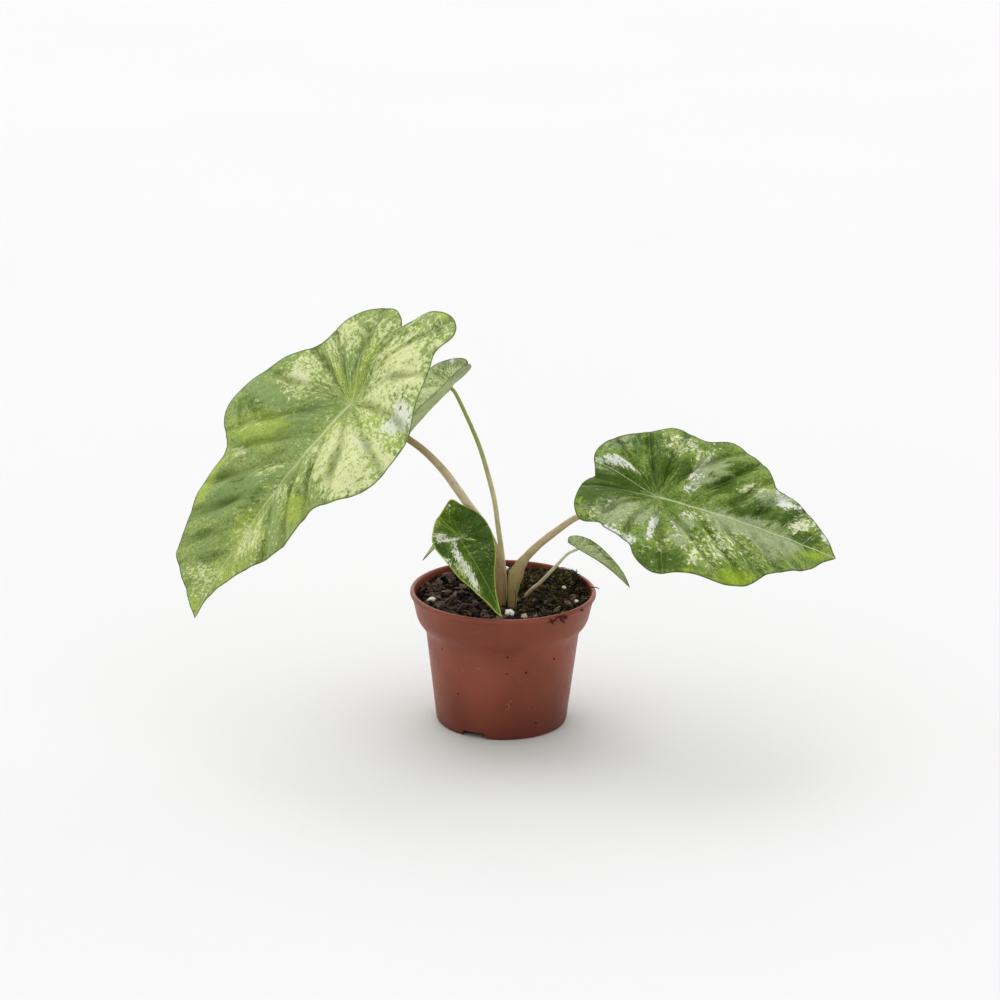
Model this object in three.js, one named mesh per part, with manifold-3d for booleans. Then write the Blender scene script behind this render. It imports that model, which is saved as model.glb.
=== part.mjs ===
// A young variegated Alocasia odora in its plastic nursery pot.
// Millimetres, +Z up. The origin is on the ground under the middle of the pot,
// and the side of the plant that is usually seen faces -Y.

import * as THREE from 'three';
import { mergeVertices } from 'three/addons/utils/BufferGeometryUtils.js';
import Module from 'manifold-3d';

const wasm = await Module();
wasm.setup();

// Pot: a 12 cm injection-moulded nursery pot.
const POT_HEIGHT = 88;
const RIM_RADIUS = 60;
const LIP_HEIGHT = 3.6;
const COLLAR_TOP_RADIUS = 58.6;
const COLLAR_FOOT_RADIUS = 55.3;
const COLLAR_FOOT_HEIGHT = 70;
const BODY_TOP_RADIUS = 49.6;
const BODY_TOP_HEIGHT = 61.5;
const FOOT_RADIUS = 41.3;
const BODY_FOOT_RADIUS = 42.6;
const WALL = 1.2;
const FLOOR_UNDERSIDE = 4.4;
const CHANNEL_OUTER_RADIUS = 38.6;
const PAD_RADIUS = 22;
const NOTCH_ANGLES = [-114.7, 65.3];
const NOTCH_HEIGHT = 4;
const NOTCH_FOOT_WIDTH = 17;
const NOTCH_TOP_WIDTH = 14;
const DRAIN_HOLES = 6;
const DRAIN_HOLE_RADIUS = 4;
const DRAIN_CIRCLE_RADIUS = 30.5;
const SEGMENTS = 44;

// Potting mix: its edge, its uneven top that falls toward the front, the hollow round the
// stalks, and the mound against the rim on the right.
const CLEARANCE = 0.35;
const SOIL_HEIGHT = 83;
const SOIL_TILT = 0.027;
const SOIL_EDGE_RADIUS = 55.4;
const SOIL_RINGS = [7, 14, 21, 28, 35, 41, 47, 52];
const HOLLOW = { x: 3, y: -6, depth: 6, spread: 17 };
const MOUND = { x: 44, y: 26, height: 6, spread: 11 };
const CHIP_COUNT = 60;
const CHIP_SEED = 11;

// Perlite grains that lie on the mix: [x, y, radius].
const PERLITE = [
  [-46, -12.5, 2.7],
  [4.3, -31, 2.9],
  [13.7, -37, 2.4],
  [2.2, 50, 2],
  [39.4, 12, 1.9],
  [47, -8, 1.9],
  [-14, -21, 1.6],
  [-22, 20, 1.8],
  [-8, 42, 2.2],
  [27, -34, 2],
];

// Leaf blades. Each is a sheet around its hub, where the stalk meets it. On the flat sheet
// x runs along the midrib to the tip and y across it, and the outline of each half is listed
// from the tip to the notch between the two back lobes.
const BLADE_THICKNESS = 0.8;
const BLADES = [
  {
    name: 'blade_1_large_left',
    color: 0xa3b86e,
    hub: [-95.4, -50, 224],
    heading: 200,
    drop: 44,
    roll: 20,
    bend: 16,
    backBend: 4,
    fold: [16, 16],
    curl: 20,
    tip: 170,
    sweep: [-12, -12],
    backLength: 30,
    veins: { lean: 0.9, curve: 0.002, spacing: 24, angle: 28 },
    quilt: 2,
    wave: 1.4,
    waves: 9,
    spokes: 28,
    rings: [0.13, 0.28, 0.44, 0.6, 0.76, 0.9, 1],
    left: [
      [170, 0], [152, 4], [136, 13], [119, 24], [106, 35], [95, 42], [84, 46], [71, 46],
      [60, 48], [48, 58], [38, 68], [26, 74], [13, 74], [-8, 72], [-24, 68], [-43, 55],
      [-58, 44], [-73, 45], [-81, 31], [-77, 12], [-66, 1], [-57, -3],
    ],
    right: [
      [170, 0], [162, -11], [146, -34], [138, -38], [125, -41], [101, -49], [84, -50],
      [70, -52], [60, -66], [50, -72], [34, -72], [18, -68], [0, -60], [-19, -39],
      [-38, -36], [-52, -29], [-62, -17], [-61, -8], [-57, -3],
    ],
  },
  {
    name: 'blade_2_folded_back',
    color: 0x9db37a,
    hub: [-35.4, 18, 217.1],
    heading: 188,
    drop: 44,
    roll: 8,
    bend: 22,
    backBend: 20,
    fold: [40, 32],
    curl: 30,
    tip: 70,
    sweep: [0, 0],
    backLength: 20,
    veins: { lean: 0.8, curve: 0.004, spacing: 13, angle: 30 },
    quilt: 0.8,
    wave: 0.8,
    waves: 6,
    spokes: 20,
    rings: [0.18, 0.38, 0.6, 0.82, 1],
    left: [
      [70, 0], [63, 3], [52, 8], [39, 13], [25, 18], [11, 20], [-2, 19], [-11, 17],
      [-17, 13], [-19, 8], [-17, 2], [-13, 0],
    ],
    right: [
      [70, 0], [63, -3], [52, -9], [39, -14], [25, -19], [11, -21.5], [-2, -21], [-10, -18],
      [-15, -13], [-18, -7], [-17, -2], [-13, 0],
    ],
  },
  {
    name: 'blade_3_right',
    color: 0x7f9c55,
    hub: [96.8, -30, 160.2],
    heading: -6,
    drop: 14,
    roll: -25,
    bend: 10,
    backBend: 4,
    fold: [10, 10],
    curl: 15,
    tip: 119,
    sweep: [4, 3],
    backLength: 30,
    veins: { lean: 0.6, curve: 0.003, spacing: 19, angle: 27 },
    quilt: 2,
    wave: 1.4,
    waves: 8,
    spokes: 28,
    rings: [0.14, 0.3, 0.46, 0.62, 0.78, 0.91, 1],
    left: [
      [119, 0], [111, 10], [101, 20], [90, 30], [80, 34], [71, 35], [67, 43], [60, 52],
      [50, 58], [42, 63], [34, 63], [21, 56], [9, 59], [2, 61], [-6, 59], [-24, 44],
      [-35, 36], [-43, 27], [-46, 18], [-44, 9], [-42, 1],
    ],
    right: [
      [119, 0], [111, -9], [102, -23], [88, -34], [76, -43], [68, -55], [59, -62],
      [47, -65], [32, -65], [21, -67], [9, -72], [0, -69], [-7, -63], [-12, -55],
      [-27, -50], [-32, -45], [-41, -46], [-46, -43], [-50, -33], [-50, -22], [-48, -11],
      [-42, 1],
    ],
  },
  {
    name: 'blade_4_front',
    color: 0x5f7f38,
    hub: [-28.8, -33, 133.5],
    heading: -41,
    drop: 42,
    roll: -14,
    bend: 20,
    backBend: 8,
    fold: [12, 12],
    curl: 40,
    tip: 58,
    sweep: [-3, -6],
    backLength: 20,
    veins: { lean: 0.7, curve: 0.006, spacing: 10, angle: 30 },
    quilt: 0.7,
    wave: 0.5,
    waves: 6,
    spokes: 20,
    rings: [0.2, 0.42, 0.65, 0.85, 1],
    left: [
      [58, 0], [47, 2], [41, 4], [31, 9], [22, 15], [14, 19], [6, 22], [-3, 23], [-11, 23],
      [-18, 20], [-23, 18], [-24, 15], [-21, 9], [-18, 3],
    ],
    right: [
      [58, 0], [54, -3], [47, -6], [39, -11], [32, -14], [25, -17], [16, -19], [6, -21],
      [0, -21], [-5, -18], [-11, -10], [-16, -2], [-18, 3],
    ],
  },
  {
    name: 'blade_5_young_right',
    color: 0x93ad62,
    hub: [47.7, -15, 121.4],
    heading: -4,
    drop: 27,
    roll: -2,
    bend: 50,
    backBend: 10,
    fold: [24, 18],
    curl: 30,
    tip: 42,
    sweep: [0, 0],
    backLength: 10,
    veins: { lean: 0.8, curve: 0.01, spacing: 8, angle: 34 },
    quilt: 0.3,
    wave: 0.3,
    waves: 4,
    spokes: 14,
    rings: [0.25, 0.55, 0.8, 1],
    left: [
      [42, 0], [39, 1.8], [33, 5.2], [24, 9], [15, 11.2], [6, 11.8], [-1, 10.8], [-5, 9],
      [-7.5, 6.6], [-8.5, 3.8], [-7.5, 1], [-5, 0],
    ],
    right: [
      [42, 0], [38, -2], [32, -4.6], [23, -8], [15, -10.4], [6, -11.4], [-1, -10.8],
      [-5, -9], [-7.5, -6.4], [-8.5, -3.8], [-7.5, -1], [-5, 0],
    ],
  },
  {
    name: 'blade_6_young_back',
    color: 0x8d9f74,
    hub: [-28.4, 12, 127.8],
    heading: 192,
    drop: 40,
    roll: 0,
    bend: 24,
    backBend: 10,
    fold: [14, 14],
    curl: 30,
    tip: 34,
    sweep: [0, 0],
    backLength: 10,
    veins: { lean: 0.8, curve: 0.01, spacing: 8, angle: 34 },
    quilt: 0.25,
    wave: 0.2,
    waves: 4,
    spokes: 14,
    rings: [0.25, 0.55, 0.8, 1],
    left: [
      [34, 0], [31, 1.2], [26, 2.6], [19, 4.8], [12, 6.8], [5, 8], [-1, 7.8], [-5, 6.9],
      [-8, 4.8], [-9, 2.7], [-8, 0.8], [-6, 0],
    ],
    right: [
      [34, 0], [31, -1.2], [26, -2.6], [19, -4.8], [12, -6.8], [5, -8], [-1, -7.8],
      [-5, -6.9], [-8, -4.8], [-9, -2.7], [-8, -0.8], [-6, 0],
    ],
  },
];

// Leaf stalks. The centre line runs from under the hub of its blade down into the mix, and
// the section is listed along it as [share of the way, half width, half depth].
const STALK_FOOT = 60;
const STALKS = [
  {
    name: 'stalk_1_large_left',
    color: 0x9b8465,
    blade: 0,
    sides: 10,
    steps: 26,
    line: [
      [-80, -44.5, 215], [-61, -38, 199.6], [-50.6, -31, 189.5], [-38.8, -23.5, 174.8],
      [-29, -15, 158.4], [-21.3, -11, 145.8], [-14.8, -8, 135.7], [-10, -6, 126.4],
      [-5.8, -4.8, 114.5], [-3.2, -4.6, 102], [-2.2, -5.6, 89.5], [-2.1, -5.5, 77],
    ],
    section: [
      [0, 1.7, 1.7], [0.2, 2.2, 2.2], [0.5, 2.8, 2.7], [0.66, 3.2, 3], [0.8, 4.3, 3.8],
      [0.92, 4.5, 4], [1, 3.6, 3.4],
    ],
  },
  {
    name: 'stalk_2_folded_back',
    color: 0x8a8a58,
    blade: 1,
    sides: 8,
    steps: 22,
    line: [
      [-24.6, 17, 198.1], [-16.2, 15, 178.6], [-10.1, 13, 158.9], [-6.3, 11, 144],
      [-3.7, 8.5, 126.9], [-1.6, 6.2, 113], [0, 4.4, 99], [0.6, 3.2, 86], [0.8, 3, 77],
    ],
    section: [[0, 1.2, 1.2], [0.5, 1.6, 1.6], [0.85, 2, 1.9], [1, 2, 1.9]],
  },
  {
    name: 'stalk_3_right',
    color: 0x8f8762,
    blade: 2,
    sides: 10,
    steps: 24,
    line: [
      [87, -27, 156.5], [71.4, -24, 153.4], [46.4, -18, 143], [32, -14, 131.2],
      [20.6, -11, 120.2], [12.7, -9, 110.6], [7.9, -7, 100], [6.2, -6, 89], [5.8, -5.5, 77],
    ],
    section: [
      [0, 1.6, 1.6], [0.3, 1.9, 1.9], [0.55, 2.3, 2.4], [0.64, 2.7, 2.8], [0.69, 3.1, 3.9],
      [0.745, 3.4, 5.1], [0.79, 3.3, 4.2], [0.85, 3.1, 3.1], [1, 2.8, 3],
    ],
  },
  {
    name: 'stalk_4_front',
    color: 0x86855a,
    blade: 3,
    sides: 8,
    steps: 14,
    line: [
      [-25, -27, 124], [-21.3, -22.5, 115.6], [-16.2, -17, 103.7], [-12.3, -13.2, 93.6],
      [-10.4, -11.8, 84.9], [-10, -11.5, 76],
    ],
    section: [[0, 0.9, 0.9], [0.5, 1.4, 1.4], [1, 1.9, 1.9]],
  },
  {
    name: 'stalk_5_young_right',
    color: 0xa08f6a,
    blade: 4,
    sides: 8,
    steps: 14,
    line: [[41, -12, 116.4], [35.2, -9, 108.9], [24.3, -3, 94.1], [17, 1, 85.8], [13.4, 3, 78]],
    section: [[0, 0.85, 0.85], [0.5, 1.2, 1.2], [0.85, 1.9, 1.8], [1, 1.9, 1.8]],
  },
  {
    name: 'stalk_6_young_back',
    color: 0x93906a,
    blade: 5,
    sides: 8,
    steps: 14,
    line: [[-23.6, 10.6, 116.5], [-17.1, 9, 104.3], [-12.4, 7, 92.8], [-10.4, 6, 84], [-9.8, 5.8, 76]],
    section: [[0, 0.75, 0.75], [0.5, 1.1, 1.1], [1, 1.7, 1.7]],
  },
];

const radians = THREE.MathUtils.degToRad;

// A repeatable stream of numbers from 0 to 1.
function seededDraws(seed) {
  let state = seed;
  return () => {
    state = (state * 1664525 + 1013904223) % 4294967296;
    return state / 4294967296;
  };
}

function smoothStep(t) {
  const clamped = Math.min(1, Math.max(0, t));
  return clamped * clamped * (3 - 2 * clamped);
}

// Cutting and joining.
function toSolid(geometry) {
  const bare = geometry.clone();
  bare.deleteAttribute('normal');
  bare.deleteAttribute('uv');
  const merged = mergeVertices(bare, 1e-4);
  return new wasm.Manifold(new wasm.Mesh({
    numProp: 3,
    vertProperties: new Float32Array(merged.attributes.position.array),
    triVerts: new Uint32Array(merged.index.array),
  }));
}

function toGeometry(solid) {
  const mesh = solid.getMesh();
  const geometry = new THREE.BufferGeometry();
  geometry.setAttribute('position', new THREE.BufferAttribute(new Float32Array(mesh.vertProperties), 3));
  geometry.setIndex(new THREE.BufferAttribute(new Uint32Array(mesh.triVerts), 1));
  geometry.computeVertexNormals();
  return geometry;
}

function indexedGeometry(points, faces) {
  const geometry = new THREE.BufferGeometry();
  geometry.setFromPoints(points);
  geometry.setIndex(faces);
  geometry.computeVertexNormals();
  return geometry;
}

// A closed solid from loops of points with the same count, from one pole to the other.
// The loops run anticlockwise seen from the first pole's outside.
function closedLoops(firstPole, loops, lastPole) {
  const count = loops[0].length;
  const points = [firstPole, ...loops.flat(), lastPole];
  const last = points.length - 1;
  const faces = [];
  for (let k = 0; k < count; k += 1) {
    const next = (k + 1) % count;
    faces.push(0, 1 + k, 1 + next);
    faces.push(last, last - count + next, last - count + k);
    for (let j = 0; j < loops.length - 1; j += 1) {
      const upper = 1 + j * count;
      const lower = upper + count;
      faces.push(upper + k, lower + k, lower + next);
      faces.push(upper + k, lower + next, upper + next);
    }
  }
  return indexedGeometry(points, faces);
}

// The inside of the pot below its collar, from the top down to the sunk pad of the floor.
function insideWall() {
  const floor = FLOOR_UNDERSIDE + WALL;
  const shoulder = COLLAR_FOOT_RADIUS - BODY_TOP_RADIUS;
  return [
    [COLLAR_FOOT_RADIUS - WALL, COLLAR_FOOT_HEIGHT],
    [BODY_TOP_RADIUS + 0.8 * shoulder - WALL, BODY_TOP_HEIGHT + 6.4],
    [BODY_TOP_RADIUS + 0.45 * shoulder - WALL, BODY_TOP_HEIGHT + 4],
    [BODY_TOP_RADIUS - WALL, BODY_TOP_HEIGHT + 1],
    [BODY_FOOT_RADIUS - WALL + 0.3, floor],
    [PAD_RADIUS - WALL, floor],
    [PAD_RADIUS - 2 * WALL, WALL],
  ];
}

// Pot: one turned wall with a raised drain channel under the floor, holes in the channel,
// and notches in the foot that let the water out.
function potGeometry() {
  const lipFoot = POT_HEIGHT - LIP_HEIGHT;
  const shoulder = COLLAR_FOOT_RADIUS - BODY_TOP_RADIUS;
  const outline = [
    [0, 0],
    [PAD_RADIUS, 0],
    [PAD_RADIUS + 1, FLOOR_UNDERSIDE],
    [CHANNEL_OUTER_RADIUS, FLOOR_UNDERSIDE],
    [CHANNEL_OUTER_RADIUS + 0.5, 0],
    [FOOT_RADIUS, 0],
    [FOOT_RADIUS + 0.9, 0.6],
    [BODY_FOOT_RADIUS, 2.5],
    [BODY_TOP_RADIUS, BODY_TOP_HEIGHT],
    [BODY_TOP_RADIUS + 0.2 * shoulder, BODY_TOP_HEIGHT + 1],
    [BODY_TOP_RADIUS + 0.65 * shoulder, BODY_TOP_HEIGHT + 3.6],
    [BODY_TOP_RADIUS + 0.9 * shoulder, BODY_TOP_HEIGHT + 6],
    [COLLAR_FOOT_RADIUS, COLLAR_FOOT_HEIGHT],
    [COLLAR_TOP_RADIUS, lipFoot],
    [RIM_RADIUS - 0.2, lipFoot + 0.5],
    [RIM_RADIUS, lipFoot + 1.6],
    [RIM_RADIUS - 0.4, POT_HEIGHT - 0.6],
    [RIM_RADIUS - 1.3, POT_HEIGHT],
    [RIM_RADIUS - 2.4, POT_HEIGHT - 0.2],
    [RIM_RADIUS - 3, POT_HEIGHT - 1.2],
    ...insideWall(),
    [0, WALL],
  ];
  const profile = outline.map(([radius, height]) => new THREE.Vector2(radius, height));
  const turned = new THREE.LatheGeometry(profile, SEGMENTS);
  turned.rotateX(Math.PI / 2);
  let pot = toSolid(turned);
  for (const angle of NOTCH_ANGLES) {
    pot = pot.subtract(toSolid(notchGeometry(angle)));
  }
  for (let k = 0; k < DRAIN_HOLES; k += 1) {
    const angle = (k + 0.5) * 2 * Math.PI / DRAIN_HOLES;
    const hole = new THREE.CylinderGeometry(DRAIN_HOLE_RADIUS, DRAIN_HOLE_RADIUS, 4 * WALL, 12);
    hole.rotateX(Math.PI / 2);
    hole.translate(
      DRAIN_CIRCLE_RADIUS * Math.cos(angle),
      DRAIN_CIRCLE_RADIUS * Math.sin(angle),
      FLOOR_UNDERSIDE + WALL / 2,
    );
    pot = pot.subtract(toSolid(hole));
  }
  return toGeometry(pot);
}

// The wedge that cuts one drain notch out of the foot, with its narrow side up.
function notchGeometry(angle) {
  const shape = new THREE.Shape([
    new THREE.Vector2(-NOTCH_FOOT_WIDTH / 2 - 1, -1.4),
    new THREE.Vector2(NOTCH_FOOT_WIDTH / 2 + 1, -1.4),
    new THREE.Vector2(NOTCH_TOP_WIDTH / 2, NOTCH_HEIGHT),
    new THREE.Vector2(-NOTCH_TOP_WIDTH / 2, NOTCH_HEIGHT),
  ]);
  const wedge = new THREE.ExtrudeGeometry(shape, { depth: 12, bevelEnabled: false });
  wedge.rotateX(Math.PI / 2);
  wedge.translate(0, -PAD_RADIUS - 10, 0);
  wedge.rotateZ(radians(angle + 90));
  return wedge;
}

// Height of the mix's top: a slope, two slow swells, the hollow and the mound.
function soilTop(x, y) {
  const swell = 0.7 * Math.sin(x / 13 + 0.6) * Math.cos(y / 16 - 0.4) + 0.5 * Math.sin((x + 2 * y) / 9);
  const bell = (form) => Math.exp(-((x - form.x) ** 2 + (y - form.y) ** 2) / form.spread ** 2);
  const forms = MOUND.height * bell(MOUND) - HOLLOW.depth * bell(HOLLOW);
  return SOIL_HEIGHT + SOIL_TILT * y + swell + forms;
}

// Potting mix: a turned plug that keeps clear of the pot, with bark chips and perlite
// grains sunk into its top and a plain hole for each stalk.
function soilGeometry(stalkHoles) {
  const walls = insideWall().map(([radius, z], k) => (
    [radius - CLEARANCE, k < 4 ? z : z + CLEARANCE]
  ));
  const around = [...Array(SEGMENTS).keys()].map((k) => 2 * Math.PI * k / SEGMENTS);
  const loop = (radius, height) => around.map((angle) => {
    const x = radius * Math.cos(angle);
    const y = radius * Math.sin(angle);
    return new THREE.Vector3(x, y, height(x, y));
  });
  const top = [...SOIL_RINGS, SOIL_EDGE_RADIUS].map((radius) => loop(radius, soilTop));
  const lower = walls.map(([radius, z]) => loop(radius, () => z));
  let soil = toSolid(closedLoops(
    new THREE.Vector3(0, 0, soilTop(0, 0)),
    [...top, ...lower],
    new THREE.Vector3(0, 0, WALL + CLEARANCE),
  ));
  for (const crumb of [...chipGeometries(), ...perliteGeometries()]) {
    soil = soil.add(toSolid(crumb));
  }
  for (const hole of stalkHoles) {
    soil = soil.subtract(toSolid(hole));
  }
  return toGeometry(soil);
}

// Flat bark chips, laid at random over the open part of the mix.
function chipGeometries() {
  const draw = seededDraws(CHIP_SEED);
  const chips = [];
  while (chips.length < CHIP_COUNT) {
    const distance = 15 + 35 * Math.sqrt(draw());
    const angle = 2 * Math.PI * draw();
    const chip = new THREE.OctahedronGeometry(1, 0);
    chip.scale(3.5 + 1.5 * draw(), 2.4 + draw(), 1.4 + 0.8 * draw());
    chip.rotateX(0.5 * (draw() - 0.5));
    chip.rotateY(0.5 * (draw() - 0.5));
    chip.rotateZ(2 * Math.PI * draw());
    const x = distance * Math.cos(angle);
    const y = distance * Math.sin(angle);
    chip.translate(x, y, soilTop(x, y) + 0.2);
    chips.push(chip);
  }
  return chips;
}

function perliteGeometries() {
  return PERLITE.map(([x, y, radius]) => {
    const grain = new THREE.IcosahedronGeometry(radius, 0);
    grain.scale(1, 0.9, 0.8);
    grain.rotateZ(x);
    grain.translate(x, y, soilTop(x, y) + 0.35 * radius);
    return grain;
  });
}

// The directions of a blade at its hub: along the midrib, across it to the left, and out
// of its upper face.
function bladeFrame(blade) {
  const heading = radians(blade.heading);
  const drop = radians(blade.drop);
  const along = new THREE.Vector3(
    Math.cos(heading) * Math.cos(drop),
    Math.sin(heading) * Math.cos(drop),
    -Math.sin(drop),
  );
  const level = new THREE.Vector3(-Math.sin(heading), Math.cos(heading), 0);
  const across = level.clone().applyAxisAngle(along, radians(-blade.roll));
  const up = new THREE.Vector3().crossVectors(along, across);
  return { along, across, up };
}

// The lateral veins as a number that is whole on each vein: pinnate from the midrib, and
// fanned round the hub behind the first pair.
function veinCount(blade, x, y) {
  const { lean, curve, spacing, angle } = blade.veins;
  const reach = Math.abs(y);
  const start = x - reach * lean - reach * reach * curve;
  if (start >= 0) {
    return start / spacing;
  }
  const radius = Math.hypot(x, y);
  const firstReach = radius / Math.hypot(1, lean);
  const firstVein = Math.atan2(firstReach, firstReach * (lean + curve * firstReach));
  return -(Math.atan2(reach, x) - firstVein) / radians(angle);
}

// A point of the blade's middle surface. The midrib droops along an arc, each half rises
// from it by the fold and curls over, the web swells between the veins, and the edge waves.
function bladePoint(blade, frame, x, y, share, turn) {
  const droop = radians(x >= 0 ? blade.bend : blade.backBend) / 100;
  const turnAlong = droop * x;
  const forward = Math.sin(turnAlong) / droop;
  const sink = (1 - Math.cos(turnAlong)) / droop;
  const fold = radians(blade.fold[y >= 0 ? 0 : 1]);
  const curl = radians(blade.curl) / 100;
  const reach = Math.abs(y);
  const spread = Math.sign(y) * (Math.sin(fold) - Math.sin(fold - curl * reach)) / curl;
  const rise = (Math.cos(fold - curl * reach) - Math.cos(fold)) / curl;
  const sweep = x >= 0
    ? blade.sweep[0] * (x / blade.tip) ** 2
    : blade.sweep[1] * smoothStep(-x / blade.backLength);
  const swell = Math.abs(Math.sin(Math.PI * veinCount(blade, x, y))) ** 0.8;
  const middle = 4 * share * (1 - 0.75 * share);
  const relief = blade.quilt * swell * middle / 1.33
    + blade.wave * share ** 4 * Math.sin(turn * blade.waves * 2 * Math.PI);
  const out = frame.up.clone().multiplyScalar(Math.cos(turnAlong));
  out.addScaledVector(frame.along, Math.sin(turnAlong));
  return new THREE.Vector3(...blade.hub)
    .addScaledVector(frame.along, forward)
    .addScaledVector(frame.up, -sink)
    .addScaledVector(frame.across, spread + sweep)
    .addScaledVector(out, rise + relief);
}

// The blade's edge on the flat sheet, from the tip round by the left half.
function bladeEdge(blade) {
  const halfEdge = (half) => {
    const spline = new THREE.SplineCurve(half.map(([x, y]) => new THREE.Vector2(x, y)));
    return spline.getSpacedPoints(blade.spokes);
  };
  const left = halfEdge(blade.left);
  const right = halfEdge(blade.right);
  return [...left.slice(0, -1), ...right.slice(1).reverse()];
}

// A blade: rings of points round the hub on the upper and the lower face, joined at the edge.
function bladeGeometry(blade) {
  const frame = bladeFrame(blade);
  const edge = bladeEdge(blade);
  const count = edge.length;
  const hub = bladePoint(blade, frame, 0, 0, 0, 0);
  const rings = blade.rings.map((share) => edge.map((point, k) => (
    bladePoint(blade, frame, share * point.x, share * point.y, share, k / count)
  )));
  const sheet = [hub, ...rings.flat()];
  const faces = [];
  for (let k = 0; k < count; k += 1) {
    const next = (k + 1) % count;
    faces.push(0, 1 + k, 1 + next);
    for (let j = 0; j < rings.length - 1; j += 1) {
      const inner = 1 + j * count;
      const outer = inner + count;
      faces.push(inner + k, outer + k, outer + next);
      faces.push(inner + k, outer + next, inner + next);
    }
  }
  const normals = indexedGeometry(sheet, faces).attributes.normal;
  const faceAt = (side) => sheet.map((point, k) => {
    const normal = new THREE.Vector3().fromBufferAttribute(normals, k);
    return point.clone().addScaledVector(normal, side * BLADE_THICKNESS / 2);
  });
  const size = sheet.length;
  const closed = [...faces];
  for (let k = 0; k < faces.length; k += 3) {
    closed.push(size + faces[k], size + faces[k + 2], size + faces[k + 1]);
  }
  const rim = size - count;
  for (let k = 0; k < count; k += 1) {
    const next = (k + 1) % count;
    closed.push(rim + k, size + rim + k, size + rim + next);
    closed.push(rim + k, size + rim + next, rim + next);
  }
  return indexedGeometry([...faceAt(1), ...faceAt(-1)], closed);
}

// A value read off a list of [share, value, value] rows.
function readSection(section, share) {
  const upper = section.findIndex((row) => row[0] >= share);
  if (upper <= 0) {
    return section[0].slice(1);
  }
  const [start, ...first] = section[upper - 1];
  const [end, ...second] = section[upper];
  const mix = smoothStep((share - start) / (end - start));
  return first.map((value, k) => value + mix * (second[k] - value));
}

// A stalk: an oval section carried along its centre line, closed at both ends. It starts
// square under its blade's hub and ends upright in the mix.
function stalkGeometry(stalk, grow) {
  const blade = BLADES[stalk.blade];
  const { up } = bladeFrame(blade);
  const hub = new THREE.Vector3(...blade.hub);
  const under = BLADE_THICKNESS / 2 + CLEARANCE;
  const foot = stalk.line[stalk.line.length - 1];
  const centre = new THREE.CatmullRomCurve3([
    hub.clone().addScaledVector(up, -under),
    hub.clone().addScaledVector(up, -under - 3),
    ...stalk.line.map((point) => new THREE.Vector3(...point)),
    new THREE.Vector3(foot[0], foot[1], STALK_FOOT - grow),
  ]);
  const headingOut = new THREE.Vector3(blade.hub[0] - foot[0], blade.hub[1] - foot[1], 0).normalize();
  const sideways = new THREE.Vector3(-headingOut.y, headingOut.x, 0);
  const loops = [];
  for (let j = 0; j <= stalk.steps; j += 1) {
    const share = j / stalk.steps;
    const point = centre.getPointAt(share);
    const tangent = centre.getTangentAt(share);
    const wide = sideways.clone().addScaledVector(tangent, -sideways.dot(tangent)).normalize();
    const deep = new THREE.Vector3().crossVectors(tangent, wide);
    const [halfWidth, halfDepth] = readSection(stalk.section, share);
    const loop = [];
    for (let k = 0; k < stalk.sides; k += 1) {
      const angle = -2 * Math.PI * k / stalk.sides;
      loop.push(point.clone()
        .addScaledVector(wide, (halfWidth + grow) * Math.cos(angle))
        .addScaledVector(deep, (halfDepth + grow) * Math.sin(angle)));
    }
    loops.push(loop);
  }
  return closedLoops(centre.getPointAt(0), loops, centre.getPointAt(1));
}

// The plant in its pot.
const plant = new THREE.Group();

function addPiece(name, geometry, color, roughness) {
  const material = new THREE.MeshStandardMaterial({ color, roughness, metalness: 0 });
  const piece = new THREE.Mesh(geometry, material);
  piece.name = name;
  plant.add(piece);
}

addPiece('pot', potGeometry(), 0x8c4f40, 0.45);
addPiece('soil', soilGeometry(STALKS.map((stalk) => stalkGeometry(stalk, CLEARANCE))), 0x2e2420, 0.95);
for (const stalk of STALKS) {
  addPiece(stalk.name, stalkGeometry(stalk, 0), stalk.color, 0.5);
}
for (const blade of BLADES) {
  addPiece(blade.name, bladeGeometry(blade), blade.color, 0.4);
}

export default plant;
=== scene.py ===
"""The looks of a young variegated Alocasia odora in its plastic nursery pot.

Lengths are millimetres and become metres when a mesh is made. The frame is the CAD part's:
+Z up, the origin on the ground under the middle of the pot, and the usually seen side
toward -Y. Each leaf is a sheet round its hub, where the stalk meets it: x runs along the
midrib to the tip and y across it, to the left half.
"""

import sys

import logging
import math
from dataclasses import dataclass, field
from enum import Enum

import bpy
import numpy as np
from mathutils import Matrix
from numpy.typing import NDArray

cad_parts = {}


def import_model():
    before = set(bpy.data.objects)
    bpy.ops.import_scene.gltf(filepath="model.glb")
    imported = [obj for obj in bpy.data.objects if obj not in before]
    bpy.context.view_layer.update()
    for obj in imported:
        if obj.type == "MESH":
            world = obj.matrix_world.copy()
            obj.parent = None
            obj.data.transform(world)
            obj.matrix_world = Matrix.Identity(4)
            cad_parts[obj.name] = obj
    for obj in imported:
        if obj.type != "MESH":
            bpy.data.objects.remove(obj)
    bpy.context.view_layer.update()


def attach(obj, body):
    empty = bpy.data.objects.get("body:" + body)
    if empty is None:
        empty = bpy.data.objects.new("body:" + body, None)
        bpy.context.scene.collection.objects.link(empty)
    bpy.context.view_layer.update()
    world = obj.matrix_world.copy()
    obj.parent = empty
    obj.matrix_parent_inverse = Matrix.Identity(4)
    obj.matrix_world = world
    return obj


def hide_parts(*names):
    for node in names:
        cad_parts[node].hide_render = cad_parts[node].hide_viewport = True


Array = NDArray[np.float64]
Socket = bpy.types.NodeSocket
Rows = tuple[tuple[float, ...], ...]

MM = 0.001
BODY = "root"
FLOW_DEPTH = 30.0
NOISE_SHIFT = 500.0
NOISE_CELLS = 64
CURVE_STEPS = 40
SMOOTH = {"interpolation_type": "SMOOTHSTEP"}
log = logging.getLogger("alocasia")


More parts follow.
